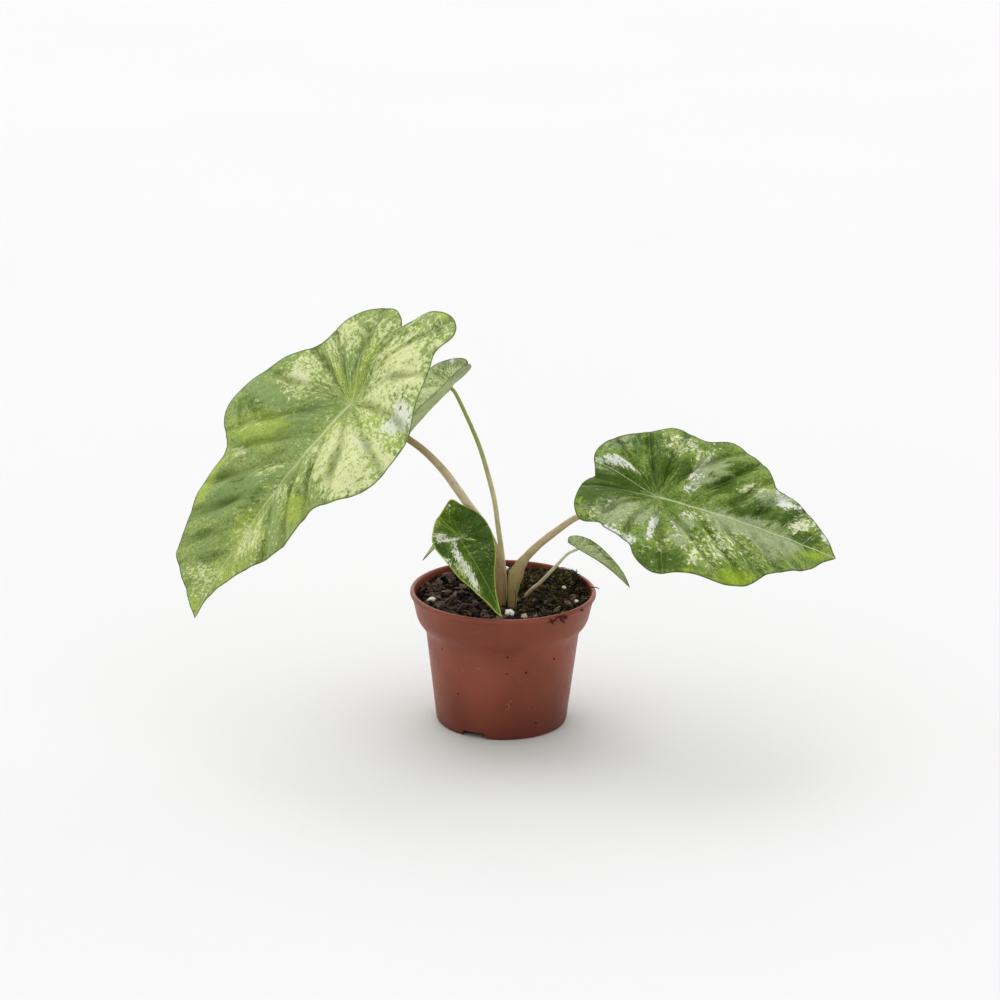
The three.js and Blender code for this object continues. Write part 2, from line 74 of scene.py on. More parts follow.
class Spline(Enum):
    """How a curve through control points is spaced: the power of the gap between two."""

    EVEN = 0.0
    CENTRIPETAL = 0.5


class Tone(Enum):
    """A kind of mark in a variegated leaf: the attribute and the channel that carry it."""

    CREAM = ("leaf_tone", 0)
    LIME = ("leaf_tone", 1)
    DEEP = ("leaf_tone", 2)
    WHITE = ("leaf_more", 0)
    GREY = ("leaf_more", 1)


def linear(colour: str) -> tuple[float, float, float, float]:
    """Turns an sRGB hex colour to linear light.

    Args:
        colour: The colour as #rrggbb.

    Returns:
        Red, green and blue in linear light, and an alpha of 1.
    """
    parts = (int(colour[k:k + 2], 16) / 255 for k in (1, 3, 5))
    red, green, blue = (p / 12.92 if p <= 0.04045 else ((p + 0.055) / 1.055) ** 2.4 for p in parts)
    return red, green, blue, 1.0


def smooth_step(value: Array) -> Array:
    """Returns t * t * (3 - 2t) with t the value kept between 0 and 1."""
    kept = np.clip(value, 0, 1)
    return kept * kept * (3 - 2 * kept)


def unit(vectors: Array) -> Array:
    """Returns the vectors at length 1."""
    return vectors / np.maximum(np.linalg.norm(vectors, axis=-1, keepdims=True), 1e-12)


def spline_through(controls: Rows | Array, kind: Spline, count: int) -> Array:
    """Carries a Catmull-Rom curve through points and spaces it evenly by length.

    Between points b and c, with the neighbours a and d and the knot gaps g, the curve is the
    cubic Hermite one with the slope g1 ((b-a)/g0 - (c-a)/(g0+g1) + (c-b)/g1) at b.

    Args:
        controls: The points, in two or three dimensions.
        kind: The knot spacing. An even one repeats its end points, the other extends them.
        count: How many points come back.

    Returns:
        The points on the curve.
    """
    points = np.asarray(controls, float)
    if kind is Spline.EVEN:
        before, after = points[0], points[-1]
    else:
        before, after = 2 * points[0] - points[1], 2 * points[-1] - points[-2]
    padded = np.vstack([before, points, after])
    gaps = np.linalg.norm(np.diff(padded, axis=0), axis=1) ** kind.value
    place = np.linspace(0, len(points) - 1, CURVE_STEPS * len(points) + 1)
    start = np.minimum(place.astype(int), len(points) - 2)
    t = (place - start)[:, None]
    a, b, c, d = (padded[start + k] for k in range(4))
    g0, g1, g2 = (gaps[start + k][:, None] for k in range(3))
    leaving = g1 * ((b - a) / g0 - (c - a) / (g0 + g1) + (c - b) / g1)
    arriving = g1 * ((c - b) / g1 - (d - b) / (g1 + g2) + (d - c) / g2)
    fine = (b * (1 + 2 * t) * (1 - t) ** 2 + leaving * t * (1 - t) ** 2
            + c * t * t * (3 - 2 * t) + arriving * t * t * (t - 1))
    length = np.concatenate([[0], np.cumsum(np.linalg.norm(np.diff(fine, axis=0), axis=1))])
    wanted = np.linspace(0, length[-1], count)
    return np.column_stack([np.interp(wanted, length, column) for column in fine.T])


def lattice_noise(x: Array, y: Array, cell: float, seed: int) -> Array:
    """Blends random values at the corners of square cells by the smooth step.

    Args:
        x: Places along the first axis.
        y: Places along the second axis.
        cell: The cell's width.
        seed: The seed of the random values.

    Returns:
        A value from -1 to 1 for each place.
    """
    table = np.random.default_rng(seed).uniform(-1, 1, (NOISE_CELLS, NOISE_CELLS))
    column, row = np.floor(x / cell).astype(int), np.floor(y / cell).astype(int)
    across, along = smooth_step(x / cell - column), smooth_step(y / cell - row)
    corner = [[table[(row + j) % NOISE_CELLS, (column + k) % NOISE_CELLS] for k in (0, 1)]
              for j in (0, 1)]
    near = corner[0][0] + across * (corner[0][1] - corner[0][0])
    far = corner[1][0] + across * (corner[1][1] - corner[1][0])
    return near + along * (far - near)


def ring_quads(rows: int, columns: int, first: int) -> Array:
    """Joins rings of points, each closed on itself, to bands of quads.

    Args:
        rows: How many rings.
        columns: How many points in a ring.
        first: The number of the first ring's first point.

    Returns:
        The quads, facing outwards when each ring runs anticlockwise seen from the first one.
    """
    row, column = np.meshgrid(np.arange(rows - 1), np.arange(columns), indexing="ij")
    upper = first + row * columns
    lower = upper + columns
    following = (column + 1) % columns
    corners = [upper + column, lower + column, lower + following, upper + following]
    return np.stack(corners, -1).reshape(-1, 4)


@dataclass
class Shell:
    """A surface in millimetres before it is a Blender mesh, with values at its points."""

    points: Array
    quads: Array
    triangles: Array
    values: dict[str, Array] = field(default_factory=dict)

    @classmethod
    def from_rings(cls, first: Array, rings: Array, last: Array) -> "Shell":
        """Closes rings of points with a pole at each end.

        Args:
            first: The pole before the first ring.
            rings: Points as rows x columns x 3.
            last: The pole after the last ring.

        Returns:
            The closed shell. Its points are the first pole, the rings and the last pole.
        """
        rows, columns = rings.shape[:2]
        here = np.arange(columns)
        following = (here + 1) % columns
        end = 1 + rows * columns
        start_fan = np.stack([np.zeros_like(here), 1 + here, 1 + following], -1)
        last_ring = end - columns
        end_fan = np.stack([np.full_like(here, end), last_ring + following, last_ring + here], -1)
        points = np.vstack([first, rings.reshape(-1, 3), last])
        return cls(points, ring_quads(rows, columns, 1), np.vstack([start_fan, end_fan]))

    @classmethod
    def joined(cls, shells: list["Shell"]) -> "Shell":
        """Puts shells that carry the same values into one.

        Args:
            shells: The shells.

        Returns:
            One shell with their points, faces and values in their order.
        """
        starts = np.concatenate([[0], np.cumsum([len(shell.points) for shell in shells])])
        return cls(
            np.vstack([shell.points for shell in shells]),
            np.vstack([shell.quads + start for shell, start in zip(shells, starts)]),
            np.vstack([shell.triangles + start for shell, start in zip(shells, starts)]),
            {key: np.vstack([shell.values[key] for shell in shells]) for key in shells[0].values},
        )

    def to_object(self, name: str, smooth: bool = True) -> bpy.types.Object:
        """Makes the mesh object, which sits at the origin with its place in its mesh.

        Args:
            name: The piece's name.
            smooth: Whether its faces shade into each other.

        Returns:
            The new object.
        """
        mesh = bpy.data.meshes.new(name)
        corners = np.concatenate([self.quads.ravel(), self.triangles.ravel()]).astype(np.int32)
        starts = np.concatenate([4 * np.arange(len(self.quads)),
                                 4 * len(self.quads) + 3 * np.arange(len(self.triangles))])
        mesh.vertices.add(len(self.points))
        mesh.vertices.foreach_set("co", (self.points * MM).astype(np.float32).ravel())
        mesh.loops.add(len(corners))
        mesh.loops.foreach_set("vertex_index", corners)
        mesh.polygons.add(len(starts))
        mesh.polygons.foreach_set("loop_start", starts.astype(np.int32))
        for key, value in self.values.items():
            layer = mesh.attributes.new(key, "FLOAT_VECTOR", "POINT")
            layer.data.foreach_set("vector", value.astype(np.float32).ravel())
        mesh.update(calc_edges=True)
        mesh.validate()
        if smooth:
            mesh.shade_smooth()
        else:
            mesh.shade_flat()
        piece = bpy.data.objects.new(name, mesh)
        bpy.context.scene.collection.objects.link(piece)
        return piece


def tube(path: Array, radii: Array, sides: int) -> Shell:
    """Carries a circle along a path. A ring's point is centre + radius (u cos a + v sin a).

    Args:
        path: The centre line's points.
        radii: The radius at each of them.
        sides: How many points in a ring.

    Returns:
        The tube, closed at both ends.
    """
    tangent = unit(np.gradient(path, axis=0))
    lead = np.where(np.abs(tangent[:, 2:3]) < 0.9, [[0.0, 0.0, 1.0]], [[1.0, 0.0, 0.0]])
    lead = np.broadcast_to(lead[len(path) // 2], tangent.shape)
    across = unit(np.cross(lead, tangent))
    upward = np.cross(tangent, across)
    angle = -2 * np.pi * np.arange(sides) / sides
    rings = path[:, None] + radii[:, None, None] * (
        across[:, None] * np.cos(angle)[None, :, None] + upward[:, None] * np.sin(angle)[None, :, None])
    return Shell.from_rings(path[0], rings, path[-1])


class Graph:
    """The node tree of a material or of the sky, filled one node at a time."""

    def __init__(self, owner: bpy.types.Material | bpy.types.World) -> None:
        """Takes a new material or world and empties its tree.

        Args:
            owner: The material or the world.
        """
        owner.use_nodes = True
        self.owner = owner
        self.tree = owner.node_tree
        self.tree.nodes.clear()

    def add(self, kind: str, inputs: dict | tuple = (), out: int | str = 0,
            **settings: object) -> Socket | None:
        """Adds a node.

        Args:
            kind: The node's type name after "ShaderNode".
            inputs: Its inputs by name or number, or the first ones in their order. Each is the
                socket that is linked to it or its value.
            out: Which of its outputs comes back.
            settings: The node's own settings.

        Returns:
            The output, if the node has one.
        """
        node = self.tree.nodes.new("ShaderNode" + kind)
        for key, value in settings.items():
            setattr(node, key, value)
        for key, value in inputs.items() if isinstance(inputs, dict) else enumerate(inputs):
            if isinstance(value, Socket):
                self.tree.links.new(value, node.inputs[key])
            else:
                node.inputs[key].default_value = value
        return node.outputs[out] if node.outputs else None

    def coated(self, colour: Socket | str, *coats: tuple) -> Socket:
        """Lays colours over one another.

        Args:
            colour: The undermost colour, a socket or an sRGB hex.
            coats: For each colour over it, how far it covers, its sRGB hex and, where it isn't
                laid on plainly, how it blends.

        Returns:
            The colour that is seen.
        """
        under = linear(colour) if isinstance(colour, str) else colour
        for cover, over, *blend in coats:
            under = self.add("Mix", {0: cover, 6: under, 7: linear(over)}, out=2, data_type="RGBA",
                             blend_type=blend[0] if blend else "MIX")
        return under

    def closed(self, surface: Socket) -> bpy.types.Material | bpy.types.World:
        """Ends the tree with its surface.

        Args:
            surface: The shader that the owner shows.

        Returns:
            The owner.
        """
        end = "OutputWorld" if isinstance(self.owner, bpy.types.World) else "OutputMaterial"
        self.add(end, {"Surface": surface})
        return self.owner


def settle(piece: bpy.types.Object, material: bpy.types.Material,
           node: str | None = None) -> None:
    """Dresses a piece, hangs it on its body and reports it.

    Args:
        piece: The finished object.
        material: Its material.
        node: The CAD node that it stands for.
    """
    piece.data.materials.append(material)
    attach(piece, BODY)
    if node:
        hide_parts(node)
    triangles = sum(len(face.vertices) - 2 for face in piece.data.polygons)
    log.info("%s: %d triangles, %s", piece.name, triangles, material.name)


@dataclass(frozen=True)
class Marbling:
    """One colour of a leaf's marbling: the size of its grain across and along the veins in
    millimetres, how far it breaks up, how much of it lies outside its patches, how softly it
    ends and how far it covers."""

    tone: Tone
    colour: str
    grain: tuple[float, float]
    break_up: float
    ground: float
    softness: float
    opacity: float
    patch_gain: float = 2.7

    def cover(self, graph: Graph, flow: Socket, strength: Socket, shift: float) -> Socket:
        """Works out where the colour shows: a smooth step, as wide as the softness, of
        patch_gain strength + break_up (noise - 0.5) + ground.

        Args:
            graph: The material's nodes.
            flow: Millimetres across and along the veins.
            strength: The strength of the tone's patches.
            shift: How far its noise is shifted, so that no two colours share one.

        Returns:
            The cover, from 0 to the opacity.
        """
        scale = (1 / self.grain[0], 1 / self.grain[1], 1 / FLOW_DEPTH)
        place = graph.add("VectorMath", (flow, scale, (shift, 2 * shift, shift)), operation="MULTIPLY_ADD")
        noise = graph.add("TexNoise", {"Vector": place, "Scale": 1.0, "Detail": 5.0, "Roughness": 0.72,
                                       "Distortion": 0.4})
        spread = graph.add("Math", (noise, self.break_up, self.ground - 0.5 * self.break_up),
                           operation="MULTIPLY_ADD")
        height = graph.add("Math", (strength, self.patch_gain, spread), operation="MULTIPLY_ADD")
        half = self.softness / 2
        return graph.add("MapRange", (height, 0.5 - half, 0.5 + half, 0.0, self.opacity), **SMOOTH)


@dataclass(frozen=True)
class LeafSkin:
    """Living leaf blade with a thin waxy skin.

    It gives the eye soft broad gloss over marbled green, pale veins that fan from the hub,
    painted shade in the creases beside the veins, and light that comes through the thin tissue.
    """

    name: str
    green: str
    second_green: str
    marbling: tuple[Marbling, ...]
    vein: str
    margin: str
    underside: str
    roughness: float = 0.4
    translucency: float = 0.25
    vein_show: float = 0.3
    midrib_width: float = 1.2
    # A darker colour for the fine threads, which also paints the shade beside the veins.
    shade: str = "#a3b088"
    threading: float = 0.6
    # How strongly the creases beside the veins are darkened as painted shade.
    crease_shade_strength: float = 0.85
    crease_width: float = 4.0
    sheen: float = 0.35
    tissue_ior: float = 1.45
    cloud_size: tuple[float, float] = (9.0, 16.0)
    cell: float = 3.4

    def material(self) -> bpy.types.Material:
        """Builds the leaf's material from the values that its mesh carries.

        Returns:
            The material.
        """
        graph = Graph(bpy.data.materials.new(self.name))
        value = {key: graph.add("Attribute", out="Vector", attribute_name=key)
                 for key in ("leaf_tone", "leaf_more", "leaf_flow", "leaf_vein", "leaf_place")}
        channel = {key: graph.add("SeparateXYZ", (socket,)).node.outputs for key, socket in value.items()}
        # Clouds of the two greens, longer along the veins than across them.
        scale = (1 / self.cloud_size[0], 1 / self.cloud_size[1], 1 / FLOW_DEPTH)
        stretched = graph.add("VectorMath", (value["leaf_flow"], scale), operation="MULTIPLY")
        cloud = graph.add("TexNoise", {"Vector": stretched, "Scale": 1.0, "Detail": 6.0, "Roughness": 0.7,
                                       "Distortion": 0.5})
        blend = graph.add("MapRange", (cloud, 0.4, 0.6), **SMOOTH)
        # Fine darker threads, about 1.4 mm apart, run through both greens.
        even = graph.add("VectorMath", (value["leaf_place"], (1 / self.cell, 1 / self.cell, 0)),
                         operation="MULTIPLY")
        threads = graph.add("TexNoise", {"Vector": even, "Scale": 2.4, "Detail": 3.0, "Roughness": 0.7,
                                         "Distortion": 1.0})
        thread = graph.add("MapRange", (threads, 0.42, 0.62, 0.0, self.threading), **SMOOTH)
        colour = graph.coated(self.green, (blend, self.second_green), (thread, self.shade, "MULTIPLY"))
        for number, layer in enumerate(self.marbling):
            attribute, index = layer.tone.value
            cover = layer.cover(graph, value["leaf_flow"], channel[attribute][index], 7.3 * (number + 1))
            colour = graph.coated(colour, (cover, layer.colour))
        # The strongest threads run over the marbling too.
        overlay = graph.add("MapRange", (threads, 0.54, 0.62, 0.0, self.threading), **SMOOTH)
        veins, crease = self.vein_cover(graph, channel)
        # Painted shade: the colour beside a vein is darkened to stand for the shade in its crease, more so
        # on some stretches, about 25 mm long.
        stretch = graph.add("TexNoise", {"Vector": even, "Scale": 0.13, "Detail": 2.0})
        uneven = graph.add("MapRange", (stretch, 0.4, 0.6, self.crease_shade_strength, 0.15 * self.crease_shade_strength))
        painted_crease_shade = graph.add("Math", (crease, uneven), operation="MULTIPLY")
        # The margin is a line about 0.7 mm wide, and the underside is paler.
        margin = graph.add("MapRange", (channel["leaf_place"][2], 0.3, 1.1, 0.75, 0.0), **SMOOTH)
        under = graph.add("Math", (channel["leaf_more"][2], 0.6), operation="MULTIPLY")
        # The shade colour darkens the strongest threads and paints the shade in the creases beside the
        # veins.
        colour = graph.coated(colour, (overlay, self.shade, "MULTIPLY"), (painted_crease_shade, self.shade, "MULTIPLY"),
                              (veins, self.vein), (margin, self.margin), (under, self.underside))
        # Fine raised cells between the veins, about 0.85 mm across, and the veins' own dips.
        cells = graph.add("TexNoise", {"Vector": even, "Scale": 4.0, "Detail": 3.0, "Roughness": 0.6})
        dips = graph.add("Math", (crease, -1.6, cells), operation="MULTIPLY_ADD")
        relief = graph.add("Bump", {"Strength": 0.8, "Distance": 0.0012, "Height": dips})
        gloss = graph.add("MapRange", (cloud, 0.3, 0.7, self.roughness - 0.06, self.roughness + 0.08))
        skin = graph.add("BsdfPrincipled", {"Base Color": colour, "Roughness": gloss, "Normal": relief,
                                            "IOR": self.tissue_ior, "Specular IOR Level": self.sheen})
        through = graph.add("BsdfTranslucent", {"Color": colour, "Normal": relief})
        return graph.closed(graph.add("MixShader", (self.translucency, skin, through)))

    def vein_cover(self, graph: Graph, channel: dict[str, bpy.types.NodeOutputs]) -> tuple[Socket, Socket]:
        """Works out how much of the leaf's colour is vein, and how near a vein it is.

        A lateral vein lies where the vein count is whole: its distance is |count - round(count)|
        times the gap between two. The last one of the fan, which runs into the back lobe, shows
        most. The midrib's distance is |y|, ahead of the hub. A crease is weaker near the hub,
        where the veins crowd.

        Args:
            graph: The material's nodes.
            channel: The parts of the values that the mesh carries.

        Returns:
            The cover, and the crease round each vein, both from 0 to 1.
        """
        count, gap, along = channel["leaf_vein"]
        forward, sideways = channel["leaf_place"][:2]
        whole = graph.add("Math", (count,), operation="ROUND")
        off = graph.add("Math", (count, whole), operation="SUBTRACT")
        near = graph.add("Math", (off,), operation="ABSOLUTE")
        distance = graph.add("Math", (near, gap), operation="MULTIPLY")
        width = graph.add("MapRange", (along, 0.0, 55.0, 0.9, 0.4))
        show = graph.add("MapRange", (count, -3.6, -3.4, 0.7, self.vein_show))
        lateral = graph.add("MapRange", (distance, 0.0, width, show, 0.0), **SMOOTH)
        side = graph.add("Math", (sideways,), operation="ABSOLUTE")
        rib_width = graph.add("MapRange", (forward, 0.0, 150.0, self.midrib_width, 0.3 * self.midrib_width))
        rib = graph.add("MapRange", (side, 0.0, rib_width, 0.95, 0.0), **SMOOTH)
        ahead = graph.add("MapRange", (forward, -2.0, 1.0))
        midrib = graph.add("Math", (rib, ahead), operation="MULTIPLY")
        veins = graph.add("Math", (lateral, midrib), operation="MAXIMUM")
        nearest = graph.add("Math", (distance, side), operation="MINIMUM")
        deepest = graph.add("MapRange", (along, 2.0, 24.0, 0.25))
        crease = graph.add("MapRange", (nearest, 0.0, self.crease_width, deepest, 0.0), **SMOOTH)
        return veins, crease


@dataclass(frozen=True)
class StalkSkin:
    """Living leaf stalk with a smooth waxy skin, tan below and greener toward its leaf.

    It gives the eye a soft sheen and fine lengthwise brown mottling.
    """

    name: str
    top: str
    middle: str
    foot: str
    fleck: str
    tissue_ior: float = 1.45
    fleck_size: tuple[float, float] = (0.9, 5.0)

    def material(self) -> bpy.types.Material:
        """Builds the stalk's material: three colours along it, with flecks over them.

        Returns:
            The material.
        """
        graph = Graph(bpy.data.materials.new(self.name))
        place = graph.add("Attribute", out="Vector", attribute_name="stalk_place")
        skin = graph.add("Attribute", out="Vector", attribute_name="stalk_skin")
        share = graph.add("SeparateXYZ", (place,))
        upper = graph.add("MapRange", (share, 0.2, 0.5), **SMOOTH)
        lower = graph.add("MapRange", (share, 0.5, 0.85), **SMOOTH)
        wide, long = self.fleck_size
        drawn = graph.add("VectorMath", (skin, (1 / wide, 1 / wide, 1 / long)), operation="MULTIPLY")
        grain = graph.add("TexNoise", {"Vector": drawn, "Scale": 1.0, "Detail": 4.0, "Roughness": 0.65})
        fleck = graph.add("MapRange", (grain, 0.46, 0.66, 0.0, 0.55), **SMOOTH)
        colour = graph.coated(self.top, (upper, self.middle), (lower, self.foot), (fleck, self.fleck))
        relief = graph.add("Bump", {"Strength": 0.4, "Distance": 0.0002, "Height": grain})
        gloss = graph.add("MapRange", (grain, 0.3, 0.7, 0.42, 0.55))
        return graph.closed(graph.add("BsdfPrincipled", {
            "Base Color": colour, "Roughness": gloss, "Normal": relief, "IOR": self.tissue_ior}))


@dataclass(frozen=True)
class MixFinish:
    """Dry or damp grains of potting mix, broken or torn, so rough all over.

    They give the eye matt facets of many tints, darker in their pores. The grain is a pore's
    size and the relief its depth, in millimetres.
    """

    name: str
    dark: str
    middle: str
    light: str
    grain: float
    roughness: float
    relief: float
    ior: float = 1.5

    def material(self) -> bpy.types.Material:
        """Builds the grains' material: a tint for each grain, with pores drawn over it.

        Returns:
            The material.
        """
        graph = Graph(bpy.data.materials.new(self.name))
        tints = graph.add("Attribute", out="Vector", attribute_name="grain_tint")
        tint = graph.add("SeparateXYZ", (tints,))
        place = graph.add("TexCoord", out="Object")
        pores = graph.add("TexNoise", {"Vector": place, "Scale": 1 / (self.grain * MM), "Detail": 4.0,
                                       "Roughness": 0.7})
        lift = graph.add("Math", (pores, 1.1, -0.55), operation="MULTIPLY_ADD")
        height = graph.add("Math", (tint, lift), operation="ADD")
        first = graph.add("MapRange", (height, 0.0, 0.5))
        second = graph.add("MapRange", (height, 0.55, 1.0))
        colour = graph.coated(self.dark, (first, self.middle), (second, self.light))
        bump = graph.add("Bump", {"Strength": 0.7, "Distance": self.relief * MM, "Height": pores})
        return graph.closed(graph.add("BsdfPrincipled", {
            "Base Color": colour, "Roughness": self.roughness, "Normal": bump, "IOR": self.ior,
            "Specular IOR Level": 0.3}))


@dataclass(frozen=True)
class MouldedPolypropylene:
    """Injection-moulded polypropylene, coloured terracotta through its mass.

    It gives the eye a satin sheen, faint flow clouds in the colour, a fine mould texture, a little
    dust that lies lighter on it in patches, and painted shade that darkens it toward its foot.
    """

    name: str = "terracotta_moulded_polypropylene"
    colour: str = "#904e39"
    second_colour: str = "#80432f"
    dust: str = "#a06c5a"
    # The colour that darkens the wall toward its foot as painted shade.
    painted_foot_shade: str = "#c8b8b4"
    roughness: float = 0.38
    polypropylene_ior: float = 1.49
    # How high the painted shade reaches up the wall, in millimetres.
    foot_shade_height: float = 34.0

    def material(self) -> bpy.types.Material:
        """Builds the pot's material on its own coordinates.

        Returns:
            The material.
        """
        graph = Graph(bpy.data.materials.new(self.name))
        place = graph.add("TexCoord", out="Object")
        # Flow clouds 40 mm across, dust patches 6 mm and mould grain 0.5 mm.
        flow = graph.add("TexNoise", {"Vector": place, "Scale": 25.0, "Detail": 3.0})
        patch = graph.add("TexNoise", {"Vector": place, "Scale": 160.0, "Detail": 6.0, "Roughness": 0.7})
        grain = graph.add("TexNoise", {"Vector": place, "Scale": 2000.0, "Detail": 2.0})
        cloud = graph.add("MapRange", (flow, 0.35, 0.65), **SMOOTH)
        dusty = graph.add("MapRange", (patch, 0.56, 0.78, 0.0, 0.3), **SMOOTH)
        # Painted shade: the wall is darkened toward its foot.
        height = graph.add("SeparateXYZ", (place,), out=2)
        low = graph.add("MapRange", (height, self.foot_shade_height * MM, 0.0))
        colour = graph.coated(self.colour, (cloud, self.second_colour), (dusty, self.dust),
                              (low, self.painted_foot_shade, "MULTIPLY"))
        gloss = graph.add("MapRange", (patch, 0.35, 0.75, self.roughness - 0.04, self.roughness + 0.16))
        bump = graph.add("Bump", {"Strength": 0.3, "Distance": 0.0001, "Height": grain})
        return graph.closed(graph.add("BsdfPrincipled", {
            "Base Color": colour, "Roughness": gloss, "Normal": bump, "IOR": self.polypropylene_ior,
            "Specular IOR Level": 0.45, "Sheen Weight": 0.12, "Sheen Roughness": 0.4,
            "Sheen Tint": linear(self.dust)}))


@dataclass(frozen=True)
class SeamlessPaper:
    """Matt white background paper, rolled out flat. It gives the eye an even pale ground."""

    name: str = "white_seamless_paper"
    colour: str = "#dadada"
    second_colour: str = "#d7d7d7"

    def material(self) -> bpy.types.Material:
        """Builds the paper's material, with a faint cloudiness 0.5 m across.

        Returns:
            The material.
        """
        graph = Graph(bpy.data.materials.new(self.name))
        cloud = graph.add("TexNoise", {"Vector": graph.add("TexCoord", out="Object"), "Scale": 2.0})
        colour = graph.coated(self.colour, (cloud, self.second_colour))
        return graph.closed(graph.add("BsdfPrincipled", {"Base Color": colour, "Roughness": 0.9}))


@dataclass(frozen=True)
class Veins:
    """The lateral veins: how far they lean back and curve, their spacing along the midrib,
    and the angle between two in the fan behind the hub."""

    lean: float
    curve: float
    spacing: float
    angle: float


@dataclass
class LeafBlade:
    """One leaf blade, with the form that the CAD part gives it and finer detail."""

    node: str
    slot: str
    hub: tuple[float, float, float]
    heading: float
    drop: float
    roll: float
    bend: float
    back_bend: float
    fold: tuple[float, float]
    curl: float
    tip: float
    sweep: tuple[float, float]
    back_length: float
    veins: Veins
    quilt: float
    wave: float
    waves: int
    left: Rows
    right: Rows
    skin: LeafSkin
    patches: dict[Tone, Rows]
    rings: int
    spokes: int
    rib_height: float
    thickness: float = 0.8
    margin_thickness: float = 0.4
    margin_width: float = 2.5
    rib_width: float = 1.5
    flat_midrib: float = 10.0
    pucker: float = 9.0
    wander: float = 0.16
    wander_cell: float = 26.0
    swell_cell: float = 24.0
    web_share: float = 0.965
    edge_shares: tuple[float, ...] = (0.978, 0.988, 0.995, 1.0)

    def directions(self) -> tuple[Array, Array, Array]:
        """Works out how the blade lies: level at its heading, then dropped, then rolled.

        Returns:
            The directions along the midrib, across it to the left, and out of the face.
        """
        heading, drop, roll = np.radians([self.heading, self.drop, self.roll])
        along = np.array([np.cos(heading) * np.cos(drop), np.sin(heading) * np.cos(drop), -np.sin(drop)])
        level = np.array([-np.sin(heading), np.cos(heading), 0.0])
        across = level * np.cos(roll) - np.cross(along, level) * np.sin(roll)
        return along, across, np.cross(along, across)

    def vein_count(self, x: Array, y: Array) -> Array:
        """Counts the lateral veins: whole on each vein, pinnate ahead and fanned behind.

        Ahead, count = (x - |y| lean - y^2 curve) / spacing. Behind, it is minus the angle past
        the first vein over the angle between two. Noise up to wander is added away from the
        midrib, so that the veins aren't quite straight.

        Args:
            x: Places along the midrib.
            y: Places across it.

        Returns:
            The count at each place.
        """
        reach = np.abs(y)
        ahead = x - reach * self.veins.lean - reach ** 2 * self.veins.curve
        first_reach = np.hypot(x, y) / math.hypot(1, self.veins.lean)
        first_lean = self.veins.lean + self.veins.curve * first_reach
        first_vein = np.arctan2(first_reach, first_reach * first_lean)
        behind = -(np.arctan2(reach, x) - first_vein) / math.radians(self.veins.angle)
        noise = lattice_noise(x + NOISE_SHIFT, y + NOISE_SHIFT, self.wander_cell, 9)
        stray = self.wander * noise * smooth_step(reach / 22)
        return np.where(ahead >= 0, ahead / self.veins.spacing, behind) + stray

    def sheet(self, x: Array, y: Array, share: Array, turn: Array) -> Array:
        """Places points of the flat sheet on the leaf's middle surface.

        The midrib droops along an arc of bend degrees in 100 mm. Each half rises from it by its
        fold and curls over on another arc. The web swells by quilt 1.6 |sin(pi count)|^0.8 between
        the veins, times 1 + noise / 2, ripples by quilt 0.25 |sin(3 pi count)| and puckers by
        noise, all less within 10 mm of the midrib and near the edge. The edge waves by
        wave share^4 sin(2 pi waves turn).

        Args:
            x: Places along the midrib.
            y: Places across it.
            share: How far each place is from the hub to the edge.
            turn: How far round the edge its spoke is.

        Returns:
            The points.
        """
        along, across, up = self.directions()
        droop = np.radians(np.where(x >= 0, self.bend, self.back_bend)) / 100
        turned = droop * x
        fold = np.radians(np.where(y >= 0, *self.fold))
        curl = math.radians(self.curl) / 100
        reach = np.abs(y)
        spread = np.sign(y) * (np.sin(fold) - np.sin(fold - curl * reach)) / curl
        rise = (np.cos(fold - curl * reach) - np.cos(fold)) / curl
        sweep = np.where(x >= 0, self.sweep[0] * (x / self.tip) ** 2,
                         self.sweep[1] * smooth_step(-x / self.back_length))
        count = self.vein_count(x, y)
        uneven = 1 + 0.5 * lattice_noise(x + NOISE_SHIFT, y + NOISE_SHIFT, self.swell_cell, 4)
        swell = (np.sin(np.pi * count) ** 2 + 0.004) ** 0.4 * uneven
        ripple = (np.sin(3 * np.pi * count) ** 2 + 0.02) ** 0.5
        middle = 4 * share * (1 - 0.75 * share) * (0.3 + 0.7 * smooth_step(reach / self.flat_midrib))
        middle = middle * (1 - 0.7 * smooth_step((share - 0.7) / 0.3))
        run = count * self.veins.spacing + NOISE_SHIFT
        cells = (lattice_noise(run, y + NOISE_SHIFT, self.pucker, 5)
                 + 0.5 * lattice_noise(run, y + NOISE_SHIFT, self.pucker / 2.2, 6))
        relief = (self.quilt * (1.6 * swell + 0.25 * ripple + 0.6 * cells) * middle / 1.33
                  + self.wave * share ** 4 * np.sin(turn * self.waves * 2 * np.pi))
        out = up * np.cos(turned)[..., None] + along * np.sin(turned)[..., None]
        return (np.array(self.hub) + along * (np.sin(turned) / droop)[..., None]
                - up * ((1 - np.cos(turned)) / droop)[..., None]
                + across * (spread + sweep)[..., None] + out * (rise + relief)[..., None])

    def edge(self) -> Array:
        """Joins the two halves' curves to one edge on the flat sheet.

        Returns:
            The edge's points, from the tip round by the left half.
        """
        left = spline_through(self.left, Spline.EVEN, self.spokes + 1)
        right = spline_through(self.right, Spline.EVEN, self.spokes + 1)
        return np.vstack([left[:-1], right[:0:-1]])

